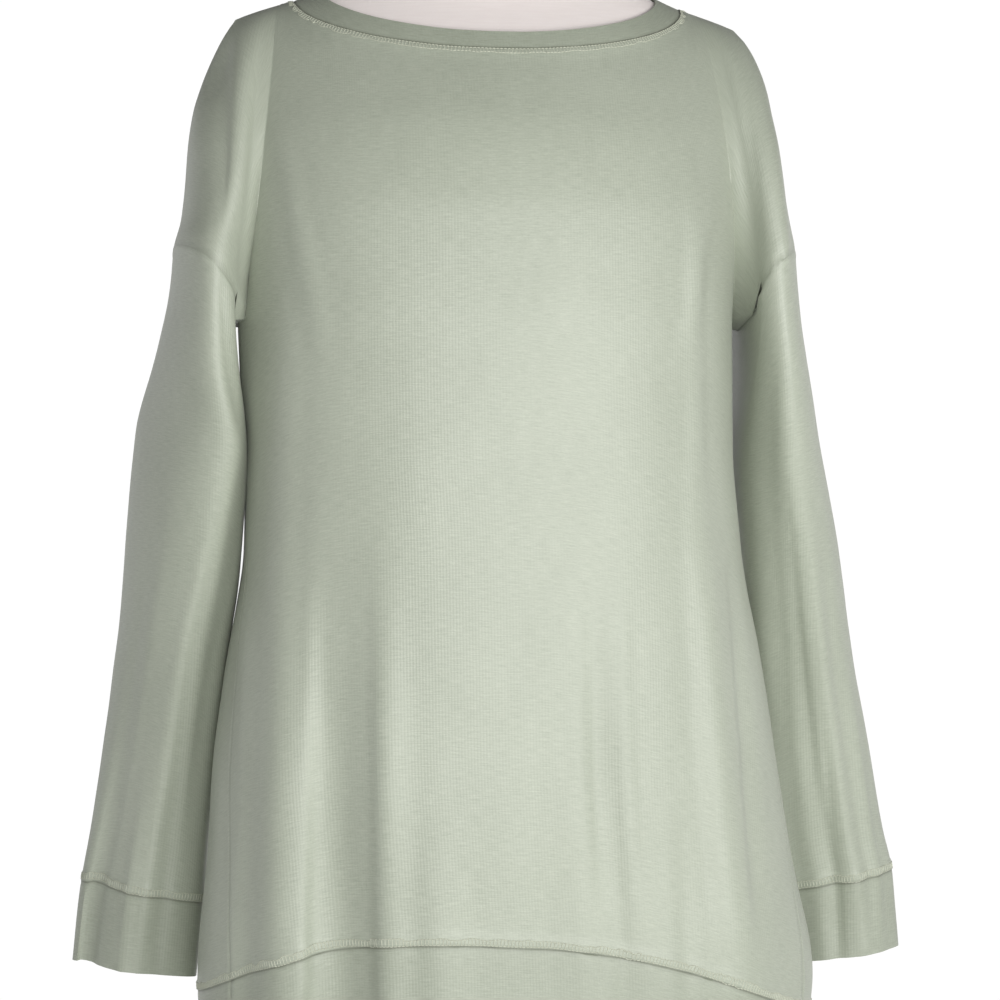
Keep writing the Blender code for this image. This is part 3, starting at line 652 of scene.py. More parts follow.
def sleeve_point(side, step, z_middle):
    """Point of the sleeve, which leaves the armhole and turns into an oval."""
    face = -1 if step <= CAP_STEPS else 1
    column = step if step <= CAP_STEPS else 2 * CAP_STEPS - step
    turn = math.degrees(math.acos(2.0 * cap_across(column) - 1.0))
    ring = sleeve_ring(side, turn if face < 0 else 360.0 - turn, z_middle)
    loop = cap_point(face, side, column, 0.0)
    top = SLEEVE[0][0]
    shift = sleeve_middle(side, z_middle)[0] - sleeve_middle(side, top)[0]
    return mix(loop + shift, ring, smooth(top - z_middle, 0.0, 0.12))


def positions(count, per_step, near_first=(0.0,), near_last=(0.0,)):
    """Grid positions from 0 to count, closer together near seams and free edges."""
    spare = 0.4 / per_step
    low = max(near_first) + spare
    high = count - max(near_last) - spare
    even = [i / per_step for i in range(round(count * per_step) + 1)]
    extra = [0.0, count, *near_first, *(count - offset for offset in near_last)]
    return sorted({p for p in even if low < p < high} | set(extra))


# Rows of the fine grids, from 0 to 1 between the seams
LOWER_ROWS = positions(1.0, 92, (0.0014, 0.0035, 0.0070, 0.0115, 0.0140, 0.0165, 0.0200))
UPPER_ROWS = positions(1.0, 50, (0.0,), (0.0035, 0.0080, 0.0150, 0.0220, 0.0280, 0.0340))
SLEEVE_ROWS = positions(1.0, 80, (0.003, 0.008, 0.014), (0.0025, 0.0060, 0.0110, 0.0150, 0.0185))
BAND_ROWS = positions(1.0, 10, (0.02, 0.06), (0.02, 0.06))
NECKBAND_ROWS = positions(1.0, 6, (0.08,), (0.08,))


def cap_line(face, side, column, row_share):
    """Point of the cap, also between the body's side of the valley and column 0."""
    if column >= 0.0:
        return cap_point(face, side, column, row_share)
    ends = [cap_point(face, side, c, row_share) for c in (-1.0, 0.0)]
    return mix(ends[0], ends[1], column + 1.0)


def body_columns(steps):
    """Sides and columns of a panel from the wearer's right to the left."""
    columns = positions(steps, BODY_FINENESS, near_last=(0.04, 0.10, 0.20))
    return [(-1, c) for c in reversed(columns) if c > 0.0] + [(1, c) for c in columns]


def neck_columns(steps):
    """Sides and shares of the neckline, at the same places as the panel's columns."""
    count = steps - SHOULDER_STEPS
    return [(side, c / count) for side, c in body_columns(steps) if c <= count]


def cloth_grids():
    """Every piece of the garment: grids of points, and of turns on the tubes."""
    pieces = {}
    cap_columns = positions(CAP_STEPS, CAP_FINENESS)
    valley = [i / CAP_FINENESS - 1.0 for i in range(CAP_FINENESS)]
    for face, name, steps in ((-1, "front", FRONT_STEPS), (1, "back", BACK_STEPS)):
        across = body_columns(steps)
        lower = [[lower_point(face, s, c, steps, row) for s, c in across] for row in LOWER_ROWS]
        upper = [[upper_point(face, s, c, steps, row) for s, c in across] for row in UPPER_ROWS]
        caps = [[[cap_line(face, side, c, row) for c in valley + cap_columns]
                 for row in UPPER_ROWS] for side in (-1, 1)]
        pieces[name] = [(grid, None) for grid in (lower, upper, *caps)]
    around = cap_columns + [2 * CAP_STEPS - c for c in reversed(cap_columns[:-1])]
    turns = [360.0 * step / (2 * CAP_STEPS) for step in around]
    spans = (("sleeve_", SLEEVE[0][0], CUFF_SEAM_Z, SLEEVE_ROWS),
             ("cuff_", CUFF_SEAM_Z, CUFF_SEAM_Z - CUFF_HEIGHT, BAND_ROWS))
    for side, side_name in ((1, "left"), (-1, "right")):
        for kind, z_first, z_last, rows in spans:
            grid = [[sleeve_point(side, step % (2 * CAP_STEPS), mix(z_first, z_last, row))
                     for step in around] for row in rows]
            pieces[kind + side_name] = [(grid, turns)]
    neckband = []
    for face, name, steps in ((-1, "front", FRONT_STEPS), (1, "back", BACK_STEPS)):
        neckband.append(([[band_point(face, s, share, 1.0 - row) for s, share in neck_columns(steps)]
                          for row in NECKBAND_ROWS], None))
        hem = [[lower_point(face, s, c, steps, 0.0, HEM_BAND_HEIGHT * row)
                for s, c in body_columns(steps)] for row in BAND_ROWS]
        pieces["hem_band_" + name] = [(hem, None)]
    pieces["neckband"] = neckband
    return pieces


def arc(points, axis):
    """Distance run along the rows (axis 1) or the columns (axis 0) of a grid."""
    steps = np.linalg.norm(np.diff(points, axis=axis), axis=2)
    start = np.zeros_like(np.take(steps, [0], axis=axis))
    return np.concatenate((start, np.cumsum(steps, axis=axis)), axis=axis)


def cut_size(name, grids):
    """Width and length of the flat cut, measured along the smooth cloth."""
    widths = [float(arc(np.array(grid), 1).max()) for grid, _ in grids]
    lengths = [float(arc(np.array(grid), 0).max()) for grid, _ in grids]
    if name in ("front", "back"):
        return max(widths[0], sum(widths[1:])), lengths[0] + lengths[1]
    return sum(widths), max(lengths)


def joined_cloth(pieces):
    """One mesh of the whole cloth. A face's material index is its piece, and
    its map "knit" runs along the courses and the wales in metres."""
    cloth = bmesh.new()
    knit = cloth.loops.layers.uv.new("knit")
    turn_layer = cloth.verts.layers.float.new("turn")
    for index, grids in enumerate(pieces.values()):
        for grid, turns in grids:
            points = np.array(grid)
            along = arc(points, 1)
            along -= along[:, [along.shape[1] // 2]]
            up = arc(points, 0)
            rows = [[cloth.verts.new(point) for point in row] for row in grid]
            for row in rows:
                for k, vertex in enumerate(row):
                    vertex[turn_layer] = turns[k] if turns else -1.0
            for r in range(len(rows) - 1):
                for c in range(len(rows[0]) - 1):
                    corners = ((r, c), (r, c + 1), (r + 1, c + 1), (r + 1, c))
                    face = cloth.faces.new([rows[i][j] for i, j in corners])
                    face.material_index = index
                    for loop, (i, j) in zip(face.loops, corners):
                        loop[knit].uv = (along[i, j], up[i, j])
    bmesh.ops.remove_doubles(cloth, verts=cloth.verts, dist=MERGE)
    bmesh.ops.recalc_face_normals(cloth, faces=cloth.faces)
    foremost = min(cloth.faces, key=lambda face: face.calc_center_median().y)
    if foremost.normal.y > 0.0:
        bmesh.ops.reverse_faces(cloth, faces=cloth.faces)
    cloth.normal_update()
    return cloth


def ramp(values, low, high):
    """smooth() for a whole array."""
    u = np.clip((values - low) / (high - low), 0.0, 1.0)
    return u * u * (3.0 - 2.0 * u)


def creases(table, across, heights, round_tube=False):
    """Height of the creases of a table at many places."""
    total = np.zeros(len(across))
    for a_top, z_top, a_low, z_low, wide_top, wide_low, lift, skew in table:
        share = (z_top - heights) / (z_top - z_low)
        away = across - (a_top + (a_low - a_top) * share)
        if round_tube:
            away = (away + 180.0) % 360.0 - 180.0
        wide = wide_top + (wide_low - wide_top) * np.clip(share, 0.0, 1.0)
        wide = wide * np.where(away > 0.0, 1.0 + skew, 1.0 - skew)
        hump = np.where(np.abs(away) < wide, 0.5 + 0.5 * np.cos(math.pi * away / wide), 0.0)
        ends = ramp(share, 0.0, CREASE_START) * (1.0 - ramp(share, CREASE_END, 1.0))
        total += lift * hump * ends
    return total


def seam_distance(cloth, names, places):
    """Distance of every vertex to the stitched seams and to the plain ones."""
    trees = []
    stitched, plain = [], []
    for edge in cloth.edges:
        sides = {names[face.material_index] for face in edge.link_faces}
        if len(sides) == 2:
            a, b = (vertex.co for vertex in edge.verts)
            count = max(1, math.ceil((b - a).length / SEAM_SAMPLE))
            line = [a.lerp(b, i / count) for i in range(count + 1)]
            (stitched if len(sides & BANDS) == 1 else plain).extend(line)
    for points in (stitched, plain):
        tree = KDTree(len(points))
        for i, point in enumerate(points):
            tree.insert(point, i)
        tree.balance()
        trees.append(tree)
    return [np.array([tree.find(place)[2] for place in places]) for tree in trees]


def shape_cloth(cloth, names):
    """Give the smooth cloth its creases, seam allowances and seam lines.
    Returns how strongly each vertex is darkened by the painted seam shadow."""
    cloth.verts.ensure_lookup_table()
    cloth.verts.index_update()
    turn_layer = cloth.verts.layers.float["turn"]
    turns = np.array([v[turn_layer] for v in cloth.verts])
    places = np.array([v.co[:] for v in cloth.verts])
    normals = np.array([v.normal[:] for v in cloth.verts])
    x, y, z = places.T
    on_body = turns < 0.0
    lift = creases(FRONT_CREASES, x, z) * ramp(-y, 0.0, SIDE_FADE) * on_body
    lift += creases(BACK_CREASES, x, z) * ramp(y, 0.0, SIDE_FADE) * on_body
    for side, table in ((1, LEFT_CREASES), (-1, RIGHT_CREASES)):
        here = ~on_body & (x * side > 0.0)
        lift += creases(table, turns, z, True) * here
    vectors = [v.co.copy() for v in cloth.verts]
    wide, fine = SOFT_SCALES
    soft = np.array([noise.noise(v * wide) + 0.5 * noise.noise(v * fine) for v in vectors])
    lift += UNEVENNESS * soft
    stitched, plain = seam_distance(cloth, names, vectors)
    panels = {i for i, name in enumerate(names) if name not in BANDS}
    on_panel = np.array([v.link_faces[0].material_index in panels for v in cloth.verts])
    allowance = 1.0 - ramp(stitched, ALLOWANCE_WIDTH - ALLOWANCE_EDGE,
                           ALLOWANCE_WIDTH + ALLOWANCE_EDGE)
    lift += ALLOWANCE_HEIGHT * allowance * on_panel
    sewn_line = np.exp(-(stitched / SEAM_REACH) ** 2)
    plain_line = np.exp(-(plain / SEAM_REACH) ** 2)
    lift -= SEAM_DEPTH * sewn_line + PLAIN_SEAM_DEPTH * plain_line
    lift += PLAIN_SEAM_RIDGE * np.exp(-((plain - PLAIN_RIDGE_AWAY) / PLAIN_RIDGE_REACH) ** 2)
    # Strength of the painted shadow in the seam grooves, weaker on plain seams
    seam = np.maximum(sewn_line, PLAIN_SEAM_SHADOW_SHARE * plain_line)
    for vertex, place in zip(cloth.verts, places + normals * lift[:, None]):
        vertex.co = place
    cloth.normal_update()
    return seam


def cloth_piece(cloth, seam, index, name, finish):
    """Thin wall of one piece: its faces, the same faces further in, and the rim."""
    faces = [face for face in cloth.faces if face.material_index == index]
    knit = cloth.loops.layers.uv["knit"]
    order = sorted({v for face in faces for v in face.verts}, key=lambda v: v.index)
    number = {v: i for i, v in enumerate(order)}
    count = len(order)
    thick = BAND_WALL if name in BANDS else WALL
    places = [v.co for v in order] + [v.co - v.normal * thick for v in order]
    polygons, maps = [], []
    for face in faces:
        ring = [number[v] for v in face.verts]
        uvs = [tuple(loop[knit].uv) for loop in face.loops]
        polygons.append(ring)
        maps += uvs
        polygons.append([i + count for i in reversed(ring)])
        maps += uvs[::-1]
        for k, loop in enumerate(face.loops):
            beyond = [f for f in loop.edge.link_faces if f is not face]
            if not beyond or beyond[0].material_index != index:
                a, b = ring[k], ring[(k + 1) % len(ring)]
                polygons.append([b, a, a + count, b + count])
                here, there = uvs[k], uvs[(k + 1) % len(ring)]
                maps += [there, here, here, there]
    mesh = bpy.data.meshes.new(name + "_cloth")
    mesh.from_pydata(places, [], polygons)
    layer = mesh.uv_layers.new(name="knit")
    layer.data.foreach_set("uv", [value for uv in maps for value in uv])
    # This attribute carries the painted seam shadow to the jersey's colour
    shade = mesh.attributes.new("seam_shadow", "FLOAT", "POINT")
    strength = [float(seam[v.index]) for v in order]
    shade.data.foreach_set("value", strength + strength)
    return finished(mesh, name + "_cloth", finish, "jersey", name)


def finished(mesh, name, finish, slot, *nodes):
    """Object of a mesh, smooth, with its finish, riding on the root."""
    mesh.shade_smooth()
    mesh.set_sharp_from_angle(angle=math.radians(SHARP_ANGLE))
    mesh.materials.append(finish)
    piece = bpy.data.objects.new(name, mesh)
    bpy.context.scene.collection.objects.link(piece)
    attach(piece, "root")
    if nodes:
        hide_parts(*nodes)
    return piece


def make_garment():
    """All the cloth and its cover stitching; the size of each piece's cut is measured but not kept.
    """
    pieces = cloth_grids()
    names = list(pieces)
    cloth = joined_cloth(pieces)
    areas = [0.0] * len(names)
    for face in cloth.faces:
        areas[face.material_index] += face.calc_area()
    # seam holds the strength of the painted seam shadow at each vertex
    seam = shape_cloth(cloth, names)
    panel_finish = jersey("jersey", JERSEY_DARK, JERSEY_LIGHT)
    band_finish = jersey("jersey_bands", BAND_DARK, BAND_LIGHT)
    for index, name in enumerate(names):
        finish = band_finish if name in BANDS else panel_finish
        piece = cloth_piece(cloth, seam, index, name, finish)
        cut_size(name, pieces[name])
    surface = BVHTree.FromBMesh(cloth)
    cloth.free()
    make_stitching(surface)


def on_surface(surface, point):
    """Nearest point of the cloth and the cloth's direction out there."""
    place, normal = surface.find_nearest(point)[:2]
    return place, normal


def beside_seam(surface, line, hint, offset):
    """The seam's line moved along the cloth, towards the side that hint gives."""
    moved = []
    for k, point in enumerate(line):
        before = line[max(0, k - 1)]
        after = line[min(len(line) - 1, k + 1)]
        place, normal = on_surface(surface, point)
        away = (after - before).normalized().cross(normal)
        if away.dot(hint(place)) < 0.0:
            away.negate()
        moved.append(on_surface(surface, place + away.normalized() * offset))
    return moved


def evenly(line, spacing):
    """Places at an even spacing along a line of points and normals."""
    places = []
    wait = 0.0
    for (a, n), (b, m) in zip(line, line[1:]):
        length = (b - a).length
        while wait < length:
            places.append((a.lerp(b, wait / length), n.lerp(m, wait / length)))
            wait += spacing
        wait -= length
    return places


def add_thread(mesh, start, end, normal, radius, arch):
    """One short stretch of thread that lies on the cloth."""
    along = (end - start).normalized()
    across = along.cross(normal).normalized()
    up = across.cross(along)
    rings = []
    for share, size, lift in ((0.0, 0.5, 0.0), (0.5, 1.0, arch), (1.0, 0.5, 0.0)):
        middle = start.lerp(end, share) + normal * (lift + THREAD_LIFT * radius)
        rings.append([mesh.verts.new(middle + (across * a + up * b) * radius * size)
                      for a, b in ((1, 0), (0, 1), (-1, 0), (0, -1))])
    for low, high in zip(rings, rings[1:]):
        for i in range(4):
            j = (i + 1) % 4
            mesh.faces.new((low[i], low[j], high[j], high[i]))
    mesh.faces.new(rings[0][::-1])
    mesh.faces.new(rings[-1])


def cover_stitch(surface, name, line, hint, finish, row_offsets):
    """Two rows of needle thread beside a seam and the thread that crosses them."""
    mesh = bmesh.new()
    rows = [beside_seam(surface, line, hint, offset) for offset in row_offsets]
    for row in rows:
        places = evenly(row, STITCH_LENGTH)
        for (a, n), (b, _) in zip(places, places[1:]):
            add_thread(mesh, a.lerp(b, STITCH_GAP), a.lerp(b, 1.0 - STITCH_GAP), n,
                       THREAD_RADIUS, THREAD_ARCH)
    pairs = list(zip(*rows))
    wait = 0.0
    for (low, high), (low_next, high_next) in zip(pairs, pairs[1:]):
        length = (low_next[0] - low[0]).length
        while wait < length:
            share = wait / length
            a = low[0].lerp(low_next[0], share)
            b = high[0].lerp(high_next[0], share)
            add_thread(mesh, a, b, low[1], CROSS_THREAD_SHARE * THREAD_RADIUS, THREAD_ARCH)
            wait += LADDER_SPACING
        wait -= length
    bmesh.ops.recalc_face_normals(mesh, faces=mesh.faces)
    shape = bpy.data.meshes.new(name)
    mesh.to_mesh(shape)
    mesh.free()
    return finished(shape, name, finish, "jersey")


def make_stitching(surface):
    """Cover stitching beside the hem, cuff and neck seams."""
    finish = thread_finish()
    up = Vector((0.0, 0.0, 1.0))
    for face, name, steps in ((-1, "front", FRONT_STEPS), (1, "back", BACK_STEPS)):
        count = round(steps / LINE_STEP)
        across = [(-1, LINE_STEP * k) for k in range(count, 0, -1)]
        across += [(1, LINE_STEP * k) for k in range(count + 1)]
        hem = [lower_point(face, s, c, steps, 0.0) for s, c in across]
        cover_stitch(surface, "hem_stitches_" + name, hem, lambda place: up, finish, HEM_ROWS)
        shares = [(s, c / steps) for s, c in across]
        neck = [band_point(face, s, share, 1.0) for s, share in shares]
        cover_stitch(surface, "neck_stitches_" + name, neck,
                     lambda place: place - NECK_MIDDLE, finish, NECK_ROWS)
    for side, name in ((1, "left"), (-1, "right")):
        around = [LINE_STEP * k for k in range(round(2 * CAP_STEPS / LINE_STEP))]
        cuff = [sleeve_point(side, step, CUFF_SEAM_Z) for step in around]
        cover_stitch(surface, "cuff_stitches_" + name, cuff + cuff[:1], lambda place: up,
                     finish, HEM_ROWS)


def ring_mesh(name, rings):
    """Closed mesh through rings of equal count, from the lowest to the highest."""
    count = len(rings[0])
    places = [point for ring in rings for point in ring]
    polygons = []
    for k in range(len(rings) - 1):
        for i in range(count):
            j = (i + 1) % count
            polygons.append((k * count + i, k * count + j, (k + 1) * count + j, (k + 1) * count + i))
    polygons.append(tuple(reversed(range(count))))
    polygons.append(tuple(range(len(places) - count, len(places))))
    mesh = bpy.data.meshes.new(name)
    mesh.from_pydata(places, [], polygons)
    return mesh


def make_torso():
    """Covered body of the dress form, with the cover's sewn seams as grooves."""
    low, high = FORM[0][0], FORM[-1][0]
    neck_low, neck_high = FORM[-5][0], FORM[-2][0]
    rings = []
    for k in range(TORSO_RINGS + 1):
        z = mix(low, high, k / TORSO_RINGS)
        half_width, front, back = (spline(FORM, z, column) for column in (1, 2, 3))
        power = mix(FORM_POWER, 1.0, smooth(z, neck_low, neck_high))
        ring = []
        for i in range(TORSO_COLUMNS):
            angle = 2.0 * math.pi * i / TORSO_COLUMNS
            cos, sin = math.cos(angle), math.sin(angle)
            x = half_width * math.copysign(abs(cos) ** power, cos)
            y = (back if sin > 0.0 else front) * math.copysign(abs(sin) ** power, sin)
            groove = 1.0 - COVER_SEAM_DEPTH * math.exp(-(x / COVER_SEAM_REACH) ** 2) / abs(y or 1.0)
            ring.append((x, y * groove, z))
        rings.append(ring)
    finished(ring_mesh("torso_cover", rings), "torso_cover", cover_finish(), "cover", "form_torso")


def lathe(name, profile, finish, slot, node):
    """Round piece turned from radii and heights, going up."""
    rings = []
    for radius, z in profile:
        turns = [2.0 * math.pi * i / LATHE_STEPS for i in range(LATHE_STEPS)]
        rings.append([(radius * math.cos(t), radius * math.sin(t), z) for t in turns])
    return finished(ring_mesh(name, rings), name, finish, slot, node)


def rounded_edge(radius, z, size, first, last):
    """Rounded edge of a turned profile between two directions in degrees."""
    turns = [math.radians(mix(first, last, k / EDGE_STEPS)) for k in range(EDGE_STEPS + 1)]
    return [(radius + size * math.cos(t), z + size * math.sin(t)) for t in turns]


def make_stand():
    """Neck cap, pole and foot of the dress form."""
    cap_low, cap_high = (corner.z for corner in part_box("form_neck_cap"))
    inner = CAP_RADIUS - CAP_EDGE
    cap = rounded_edge(inner, cap_low + CAP_EDGE, CAP_EDGE, -90.0, 0.0)
    cap += rounded_edge(inner, cap_high - CAP_SIDE_DROP * CAP_EDGE, CAP_EDGE, 0.0, 75.0)
    cap += [(share * CAP_RADIUS, cap_high - drop * CAP_EDGE) for share, drop in CAP_CROWN]
    lathe("neck_cap_turned", cap, wood_finish(), "cap_wood", "form_neck_cap")
    pole_low, pole_high = (corner.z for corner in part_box("form_pole"))
    pole = [(POLE_RADIUS, mix(pole_low, pole_high, k / POLE_STEPS)) for k in range(POLE_STEPS + 1)]
    lathe("pole_tube", pole, steel_finish("pole_steel", 900.0), "steel", "form_pole")
    base_top = BASE_HEIGHT + COLLAR_HEIGHT
    foot = rounded_edge(BASE_RADIUS - FOOT_LOW_EDGE, FOOT_LOW_EDGE, FOOT_LOW_EDGE, -90.0, 0.0)
    foot += rounded_edge(BASE_RADIUS - BASE_EDGE, BASE_HEIGHT - BASE_EDGE, BASE_EDGE, 0.0, 90.0)
    foot += [(0.6 * BASE_RADIUS, BASE_HEIGHT), (COLLAR_RADIUS + 2.0 * BASE_EDGE, BASE_HEIGHT)]
    fillet = [math.radians(mix(-90.0, -180.0, k / EDGE_STEPS)) for k in range(EDGE_STEPS + 1)]
    foot += [(COLLAR_RADIUS + BASE_EDGE * (1.0 + math.cos(t)),
              BASE_HEIGHT + BASE_EDGE * (1.0 + math.sin(t))) for t in fillet]
    foot += rounded_edge(COLLAR_RADIUS - COLLAR_EDGE, base_top - COLLAR_EDGE, COLLAR_EDGE,
                         0.0, 90.0)
    lathe("foot_plate", foot, steel_finish("foot_steel", 260.0), "steel", "form_base")


class Value:
    """A number on a material's socket. Plain arithmetic adds Math nodes."""

    def __init__(self, finish, socket):
        self.finish = finish
        self.socket = socket

    def math(self, operation, first, second):
        return self.finish.node("ShaderNodeMath", {"operation": operation}, {0: first, 1: second})

    def __add__(self, other):
        return self.math("ADD", self, other)

    def __radd__(self, other):
        return self.math("ADD", other, self)

    def __sub__(self, other):
        return self.math("SUBTRACT", self, other)

    def __rsub__(self, other):
        return self.math("SUBTRACT", other, self)

    def __mul__(self, other):
        return self.math("MULTIPLY", self, other)

    def __rmul__(self, other):
        return self.math("MULTIPLY", other, self)


class Finish:
    """A material whose surface is worked out from nodes."""

    def __init__(self, name, roughness, metallic=0.0, sheen=0.0, specular=0.5):
        self.material = bpy.data.materials.new(name)
        self.material.use_nodes = True
        self.nodes = self.material.node_tree.nodes
        self.shader = self.nodes["Principled BSDF"]
        self.shader.inputs["Roughness"].default_value = roughness
        self.shader.inputs["Metallic"].default_value = metallic
        self.shader.inputs["Sheen Weight"].default_value = sheen
        self.shader.inputs["Sheen Roughness"].default_value = SHEEN_ROUGHNESS
        self.shader.inputs["Specular IOR Level"].default_value = specular

    def put(self, socket, value):
        """Link a value to a socket, or set it there."""
        if isinstance(value, Value):
            self.material.node_tree.links.new(value.socket, socket)
        else:
            socket.default_value = value

    def node(self, kind, settings, values, output=0):
        """Add a node with its settings and socket values; gives one output."""
        made = self.nodes.new(kind)
        for key, setting in settings.items():
            setattr(made, key, setting)
        for key, value in values.items():
            self.put(made.inputs[key], value)
        return Value(self, made.outputs[output])

    def place(self):
        """Place on the object, in metres."""
        return self.node("ShaderNodeTexCoord", {}, {}, "Object")

    def mixed(self, share, first, second):
        """Colour between two colours. The node's colour sockets share their names
        with others, so they go by number."""
        return self.node("ShaderNodeMix", {"data_type": "RGBA"},
                         {"Factor": share, 6: first, 7: second}, 2)

    def ribs(self, place, direction, scale, unevenness, fineness=1.0):
        """Height of fine parallel ribs."""
        return self.node("ShaderNodeTexWave", {"bands_direction": direction},
                         {"Vector": place, "Scale": scale, "Distortion": unevenness,
                          "Detail Scale": fineness}, "Fac")

    def stretched_noise(self, place, scale, detail):
        """Noise that is stretched by a scale for each axis."""
        spread = self.node("ShaderNodeVectorMath", {"operation": "MULTIPLY"},
                           {0: place, 1: scale})
        return self.node("ShaderNodeTexNoise", {},
                         {"Vector": spread, "Scale": 1.0, "Detail": detail})

    def coat(self, colour=None, roughness=None, height=None, distance=0.0002, strength=0.5):
        """Give the surface its colour, roughness and relief."""
        if colour:
            self.put(self.shader.inputs["Base Color"], colour)
        if roughness:
            self.put(self.shader.inputs["Roughness"], roughness)
        if height:
            bump = self.node("ShaderNodeBump", {},
                             {"Height": height, "Distance": distance, "Strength": strength})
            self.put(self.shader.inputs["Normal"], bump)
        return self.material


def jersey(name, dark, light):
    """Fine heathered single jersey with a soft sheen."""
    finish = Finish(name, 0.45, sheen=JERSEY_SHEEN, specular=JERSEY_GLOSS)
    place = finish.node("ShaderNodeUVMap", {"uv_map": "knit"}, {})
    body = finish.place()
    streaks = finish.stretched_noise(place, (95.0, 1150.0, 1.0), 3.0)
    flecks = finish.stretched_noise(place, (420.0, 1500.0, 1.0), 2.0)
    clouds = finish.stretched_noise(body, (14.0, 14.0, 9.0), 2.0)
    seam = finish.node("ShaderNodeAttribute", {"attribute_name": "seam_shadow"}, {}, "Fac")
    share = 0.5 + (streaks - 0.5) * 1.5 + (flecks - 0.5) * 0.9 + (clouds - 0.5) * 0.5
    base = finish.mixed(share, dark, light)
    # Painted shadow: the seam lines are mixed towards the dark seam colour
    colour = finish.mixed(seam * SEAM_SHADOW_STRENGTH, base, SEAM_SHADOW_COLOUR)
    wales = finish.ribs(place, "X", WALE_SCALE, 0.6, 2.0)
    roughness = 0.40 + flecks * 0.12
    return finish.coat(colour, roughness, wales * 0.5 + streaks * 0.8 + flecks * 0.5,
                       distance=0.00022, strength=0.55)


def thread_finish():
    """Twisted sewing thread, a little lighter than the cloth."""
    finish = Finish("sewing_thread", 0.5, sheen=0.2, specular=0.4)
    body = finish.place()
    fibres = finish.stretched_noise(body, (2600.0, 2600.0, 2600.0), 2.0)
    colour = finish.mixed(fibres, THREAD_DARK, THREAD_LIGHT)
    return finish.coat(colour, 0.45 + fibres * 0.2, fibres, distance=0.0001, strength=0.4)


def cover_finish():
    """Smooth woven cover of the dress form."""
    finish = Finish("form_cover", 0.8, sheen=0.15, specular=0.25)
    body = finish.place()
    warp, weft = (finish.ribs(body, direction, COVER_SCALE, 1.2) for direction in "XZ")
    slubs = finish.stretched_noise(body, (60.0, 60.0, 700.0), 2.0)
    weave = warp * 0.5 + weft * 0.5
    colour = finish.mixed(weave * 0.4 + slubs * 0.6, COVER_DARK, COVER_LIGHT)
    return finish.coat(colour, 0.74 + slubs * 0.12, weave + slubs, distance=0.00015, strength=0.4)


def wood_finish():
    """Turned, oiled wood of the neck cap."""
    finish = Finish("turned_wood", 0.42, specular=0.4)
    body = finish.place()
    grain = finish.stretched_noise(body, (260.0, 22.0, 260.0), 5.0)
    pores = finish.stretched_noise(body, (1400.0, 110.0, 1400.0), 2.0)
    colour = finish.mixed(grain * 0.8 + pores * 0.2, WOOD_DARK, WOOD_LIGHT)
    return finish.coat(colour, 0.36 + pores * 0.2, grain + pores, distance=0.0001, strength=0.3)


def steel_finish(name, fineness):
    """Satin steel with fine brushing round the piece."""
    finish = Finish(name, 0.3, metallic=1.0)
    body = finish.place()
    brushing = finish.stretched_noise(body, (18.0, 18.0, fineness), 3.0)
    smudges = finish.stretched_noise(body, (16.0, 16.0, 16.0), 3.0)
    colour = finish.mixed(brushing * 0.6 + smudges * 0.4, STEEL_DARK, STEEL_LIGHT)
    return finish.coat(colour, 0.2 + brushing * 0.14 + smudges * 0.1, brushing,
                       distance=0.00005, strength=0.25)


def make_floor():
    """Round pale floor under the stand."""
    finish = Finish("pale_floor", 0.7, specular=0.2)
    body = finish.place()
    clouds = finish.stretched_noise(body, (1.3, 1.3, 1.3), 2.0)
    colour = finish.mixed(clouds, FLOOR_DARK, FLOOR_LIGHT)
    finish.put(finish.shader.inputs["Emission Color"], colour)
    finish.shader.inputs["Emission Strength"].default_value = FLOOR_GLOW
    material = finish.coat(colour, 0.65 + clouds * 0.1)
    mesh = bpy.data.meshes.new("studio_floor")
    turns = [2.0 * math.pi * i / LATHE_STEPS for i in range(LATHE_STEPS)]
    rim = [(FLOOR_RADIUS * math.cos(t), FLOOR_RADIUS * math.sin(t), -FLOOR_GAP) for t in turns]
    mesh.from_pydata(rim, [], [tuple(range(LATHE_STEPS))])
    mesh.materials.append(material)
    floor = bpy.data.objects.new("studio_floor", mesh)
    bpy.context.scene.collection.objects.link(floor)


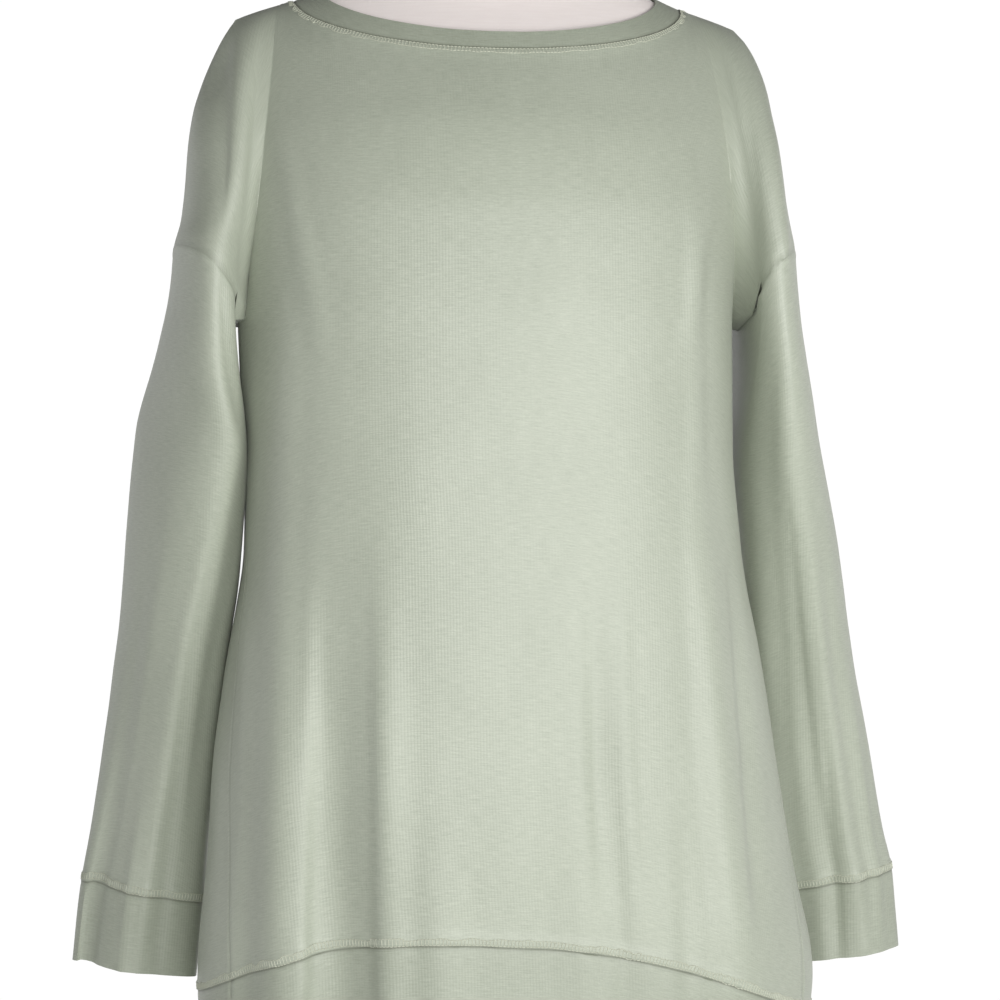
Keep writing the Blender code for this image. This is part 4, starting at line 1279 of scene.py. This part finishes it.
def make_sky():
    """White surroundings at eye level, dim overhead and below."""
    world = bpy.data.worlds.new("studio")
    bpy.context.scene.world = world
    world.use_nodes = True
    nodes, links = world.node_tree.nodes, world.node_tree.links
    background = nodes["Background"]
    place = nodes.new("ShaderNodeTexCoord")
    parts = nodes.new("ShaderNodeSeparateXYZ")
    steep = nodes.new("ShaderNodeMath")
    steep.operation = "ABSOLUTE"
    height = nodes.new("ShaderNodeMapRange")
    height.interpolation_type = "SMOOTHSTEP"
    for key, value in zip(("From Min", "From Max", "To Min", "To Max"), SKY_RANGE):
        height.inputs[key].default_value = value
    links.new(place.outputs["Generated"], parts.inputs[0])
    links.new(parts.outputs["Z"], steep.inputs[0])
    links.new(steep.outputs[0], height.inputs["Value"])
    links.new(height.outputs[0], background.inputs["Strength"])
    background.inputs["Color"].default_value = (*SKY_COLOUR, 1.0)


def add_softbox(name, place, size, power, colour):
    """Square soft light that points at the chest."""
    lamp = bpy.data.lights.new(name, "AREA")
    lamp.shape = "RECTANGLE"
    lamp.size, lamp.size_y = size
    lamp.energy = power
    lamp.color = colour
    light = bpy.data.objects.new(name, lamp)
    light.location = place
    light.rotation_euler = (LIGHT_TARGET - Vector(place)).to_track_quat("-Z", "Y").to_euler()
    bpy.context.scene.collection.objects.link(light)


def make_studio():
    """Floor, surroundings, lights and camera."""
    make_floor()
    make_sky()
    for name, place, size, power, colour in SOFTBOXES:
        add_softbox(name, place, size, power, colour)
    turn = math.radians(CAMERA_TURN)
    ahead = Vector((math.sin(turn), math.cos(turn), 0.0))
    lens = bpy.data.cameras.new("photo_camera")
    lens.sensor_width = SENSOR_WIDTH
    lens.lens = SENSOR_WIDTH * CAMERA_DISTANCE / (IMAGE_SIZE * METRES_PER_PIXEL)
    lens.shift_x = CAMERA_SHIFT / IMAGE_SIZE
    lens.clip_end = CAMERA_REACH
    camera = bpy.data.objects.new("photo_camera", lens)
    camera.location = Vector((0.0, 0.0, CAMERA_HEIGHT)) - ahead * CAMERA_DISTANCE
    camera.rotation_euler = ahead.to_track_quat("-Z", "Y").to_euler()
    bpy.context.scene.collection.objects.link(camera)
    bpy.context.scene.camera = camera
    bpy.context.scene.view_settings.view_transform = "Standard"


make_garment()
make_torso()
make_stand()
make_studio()
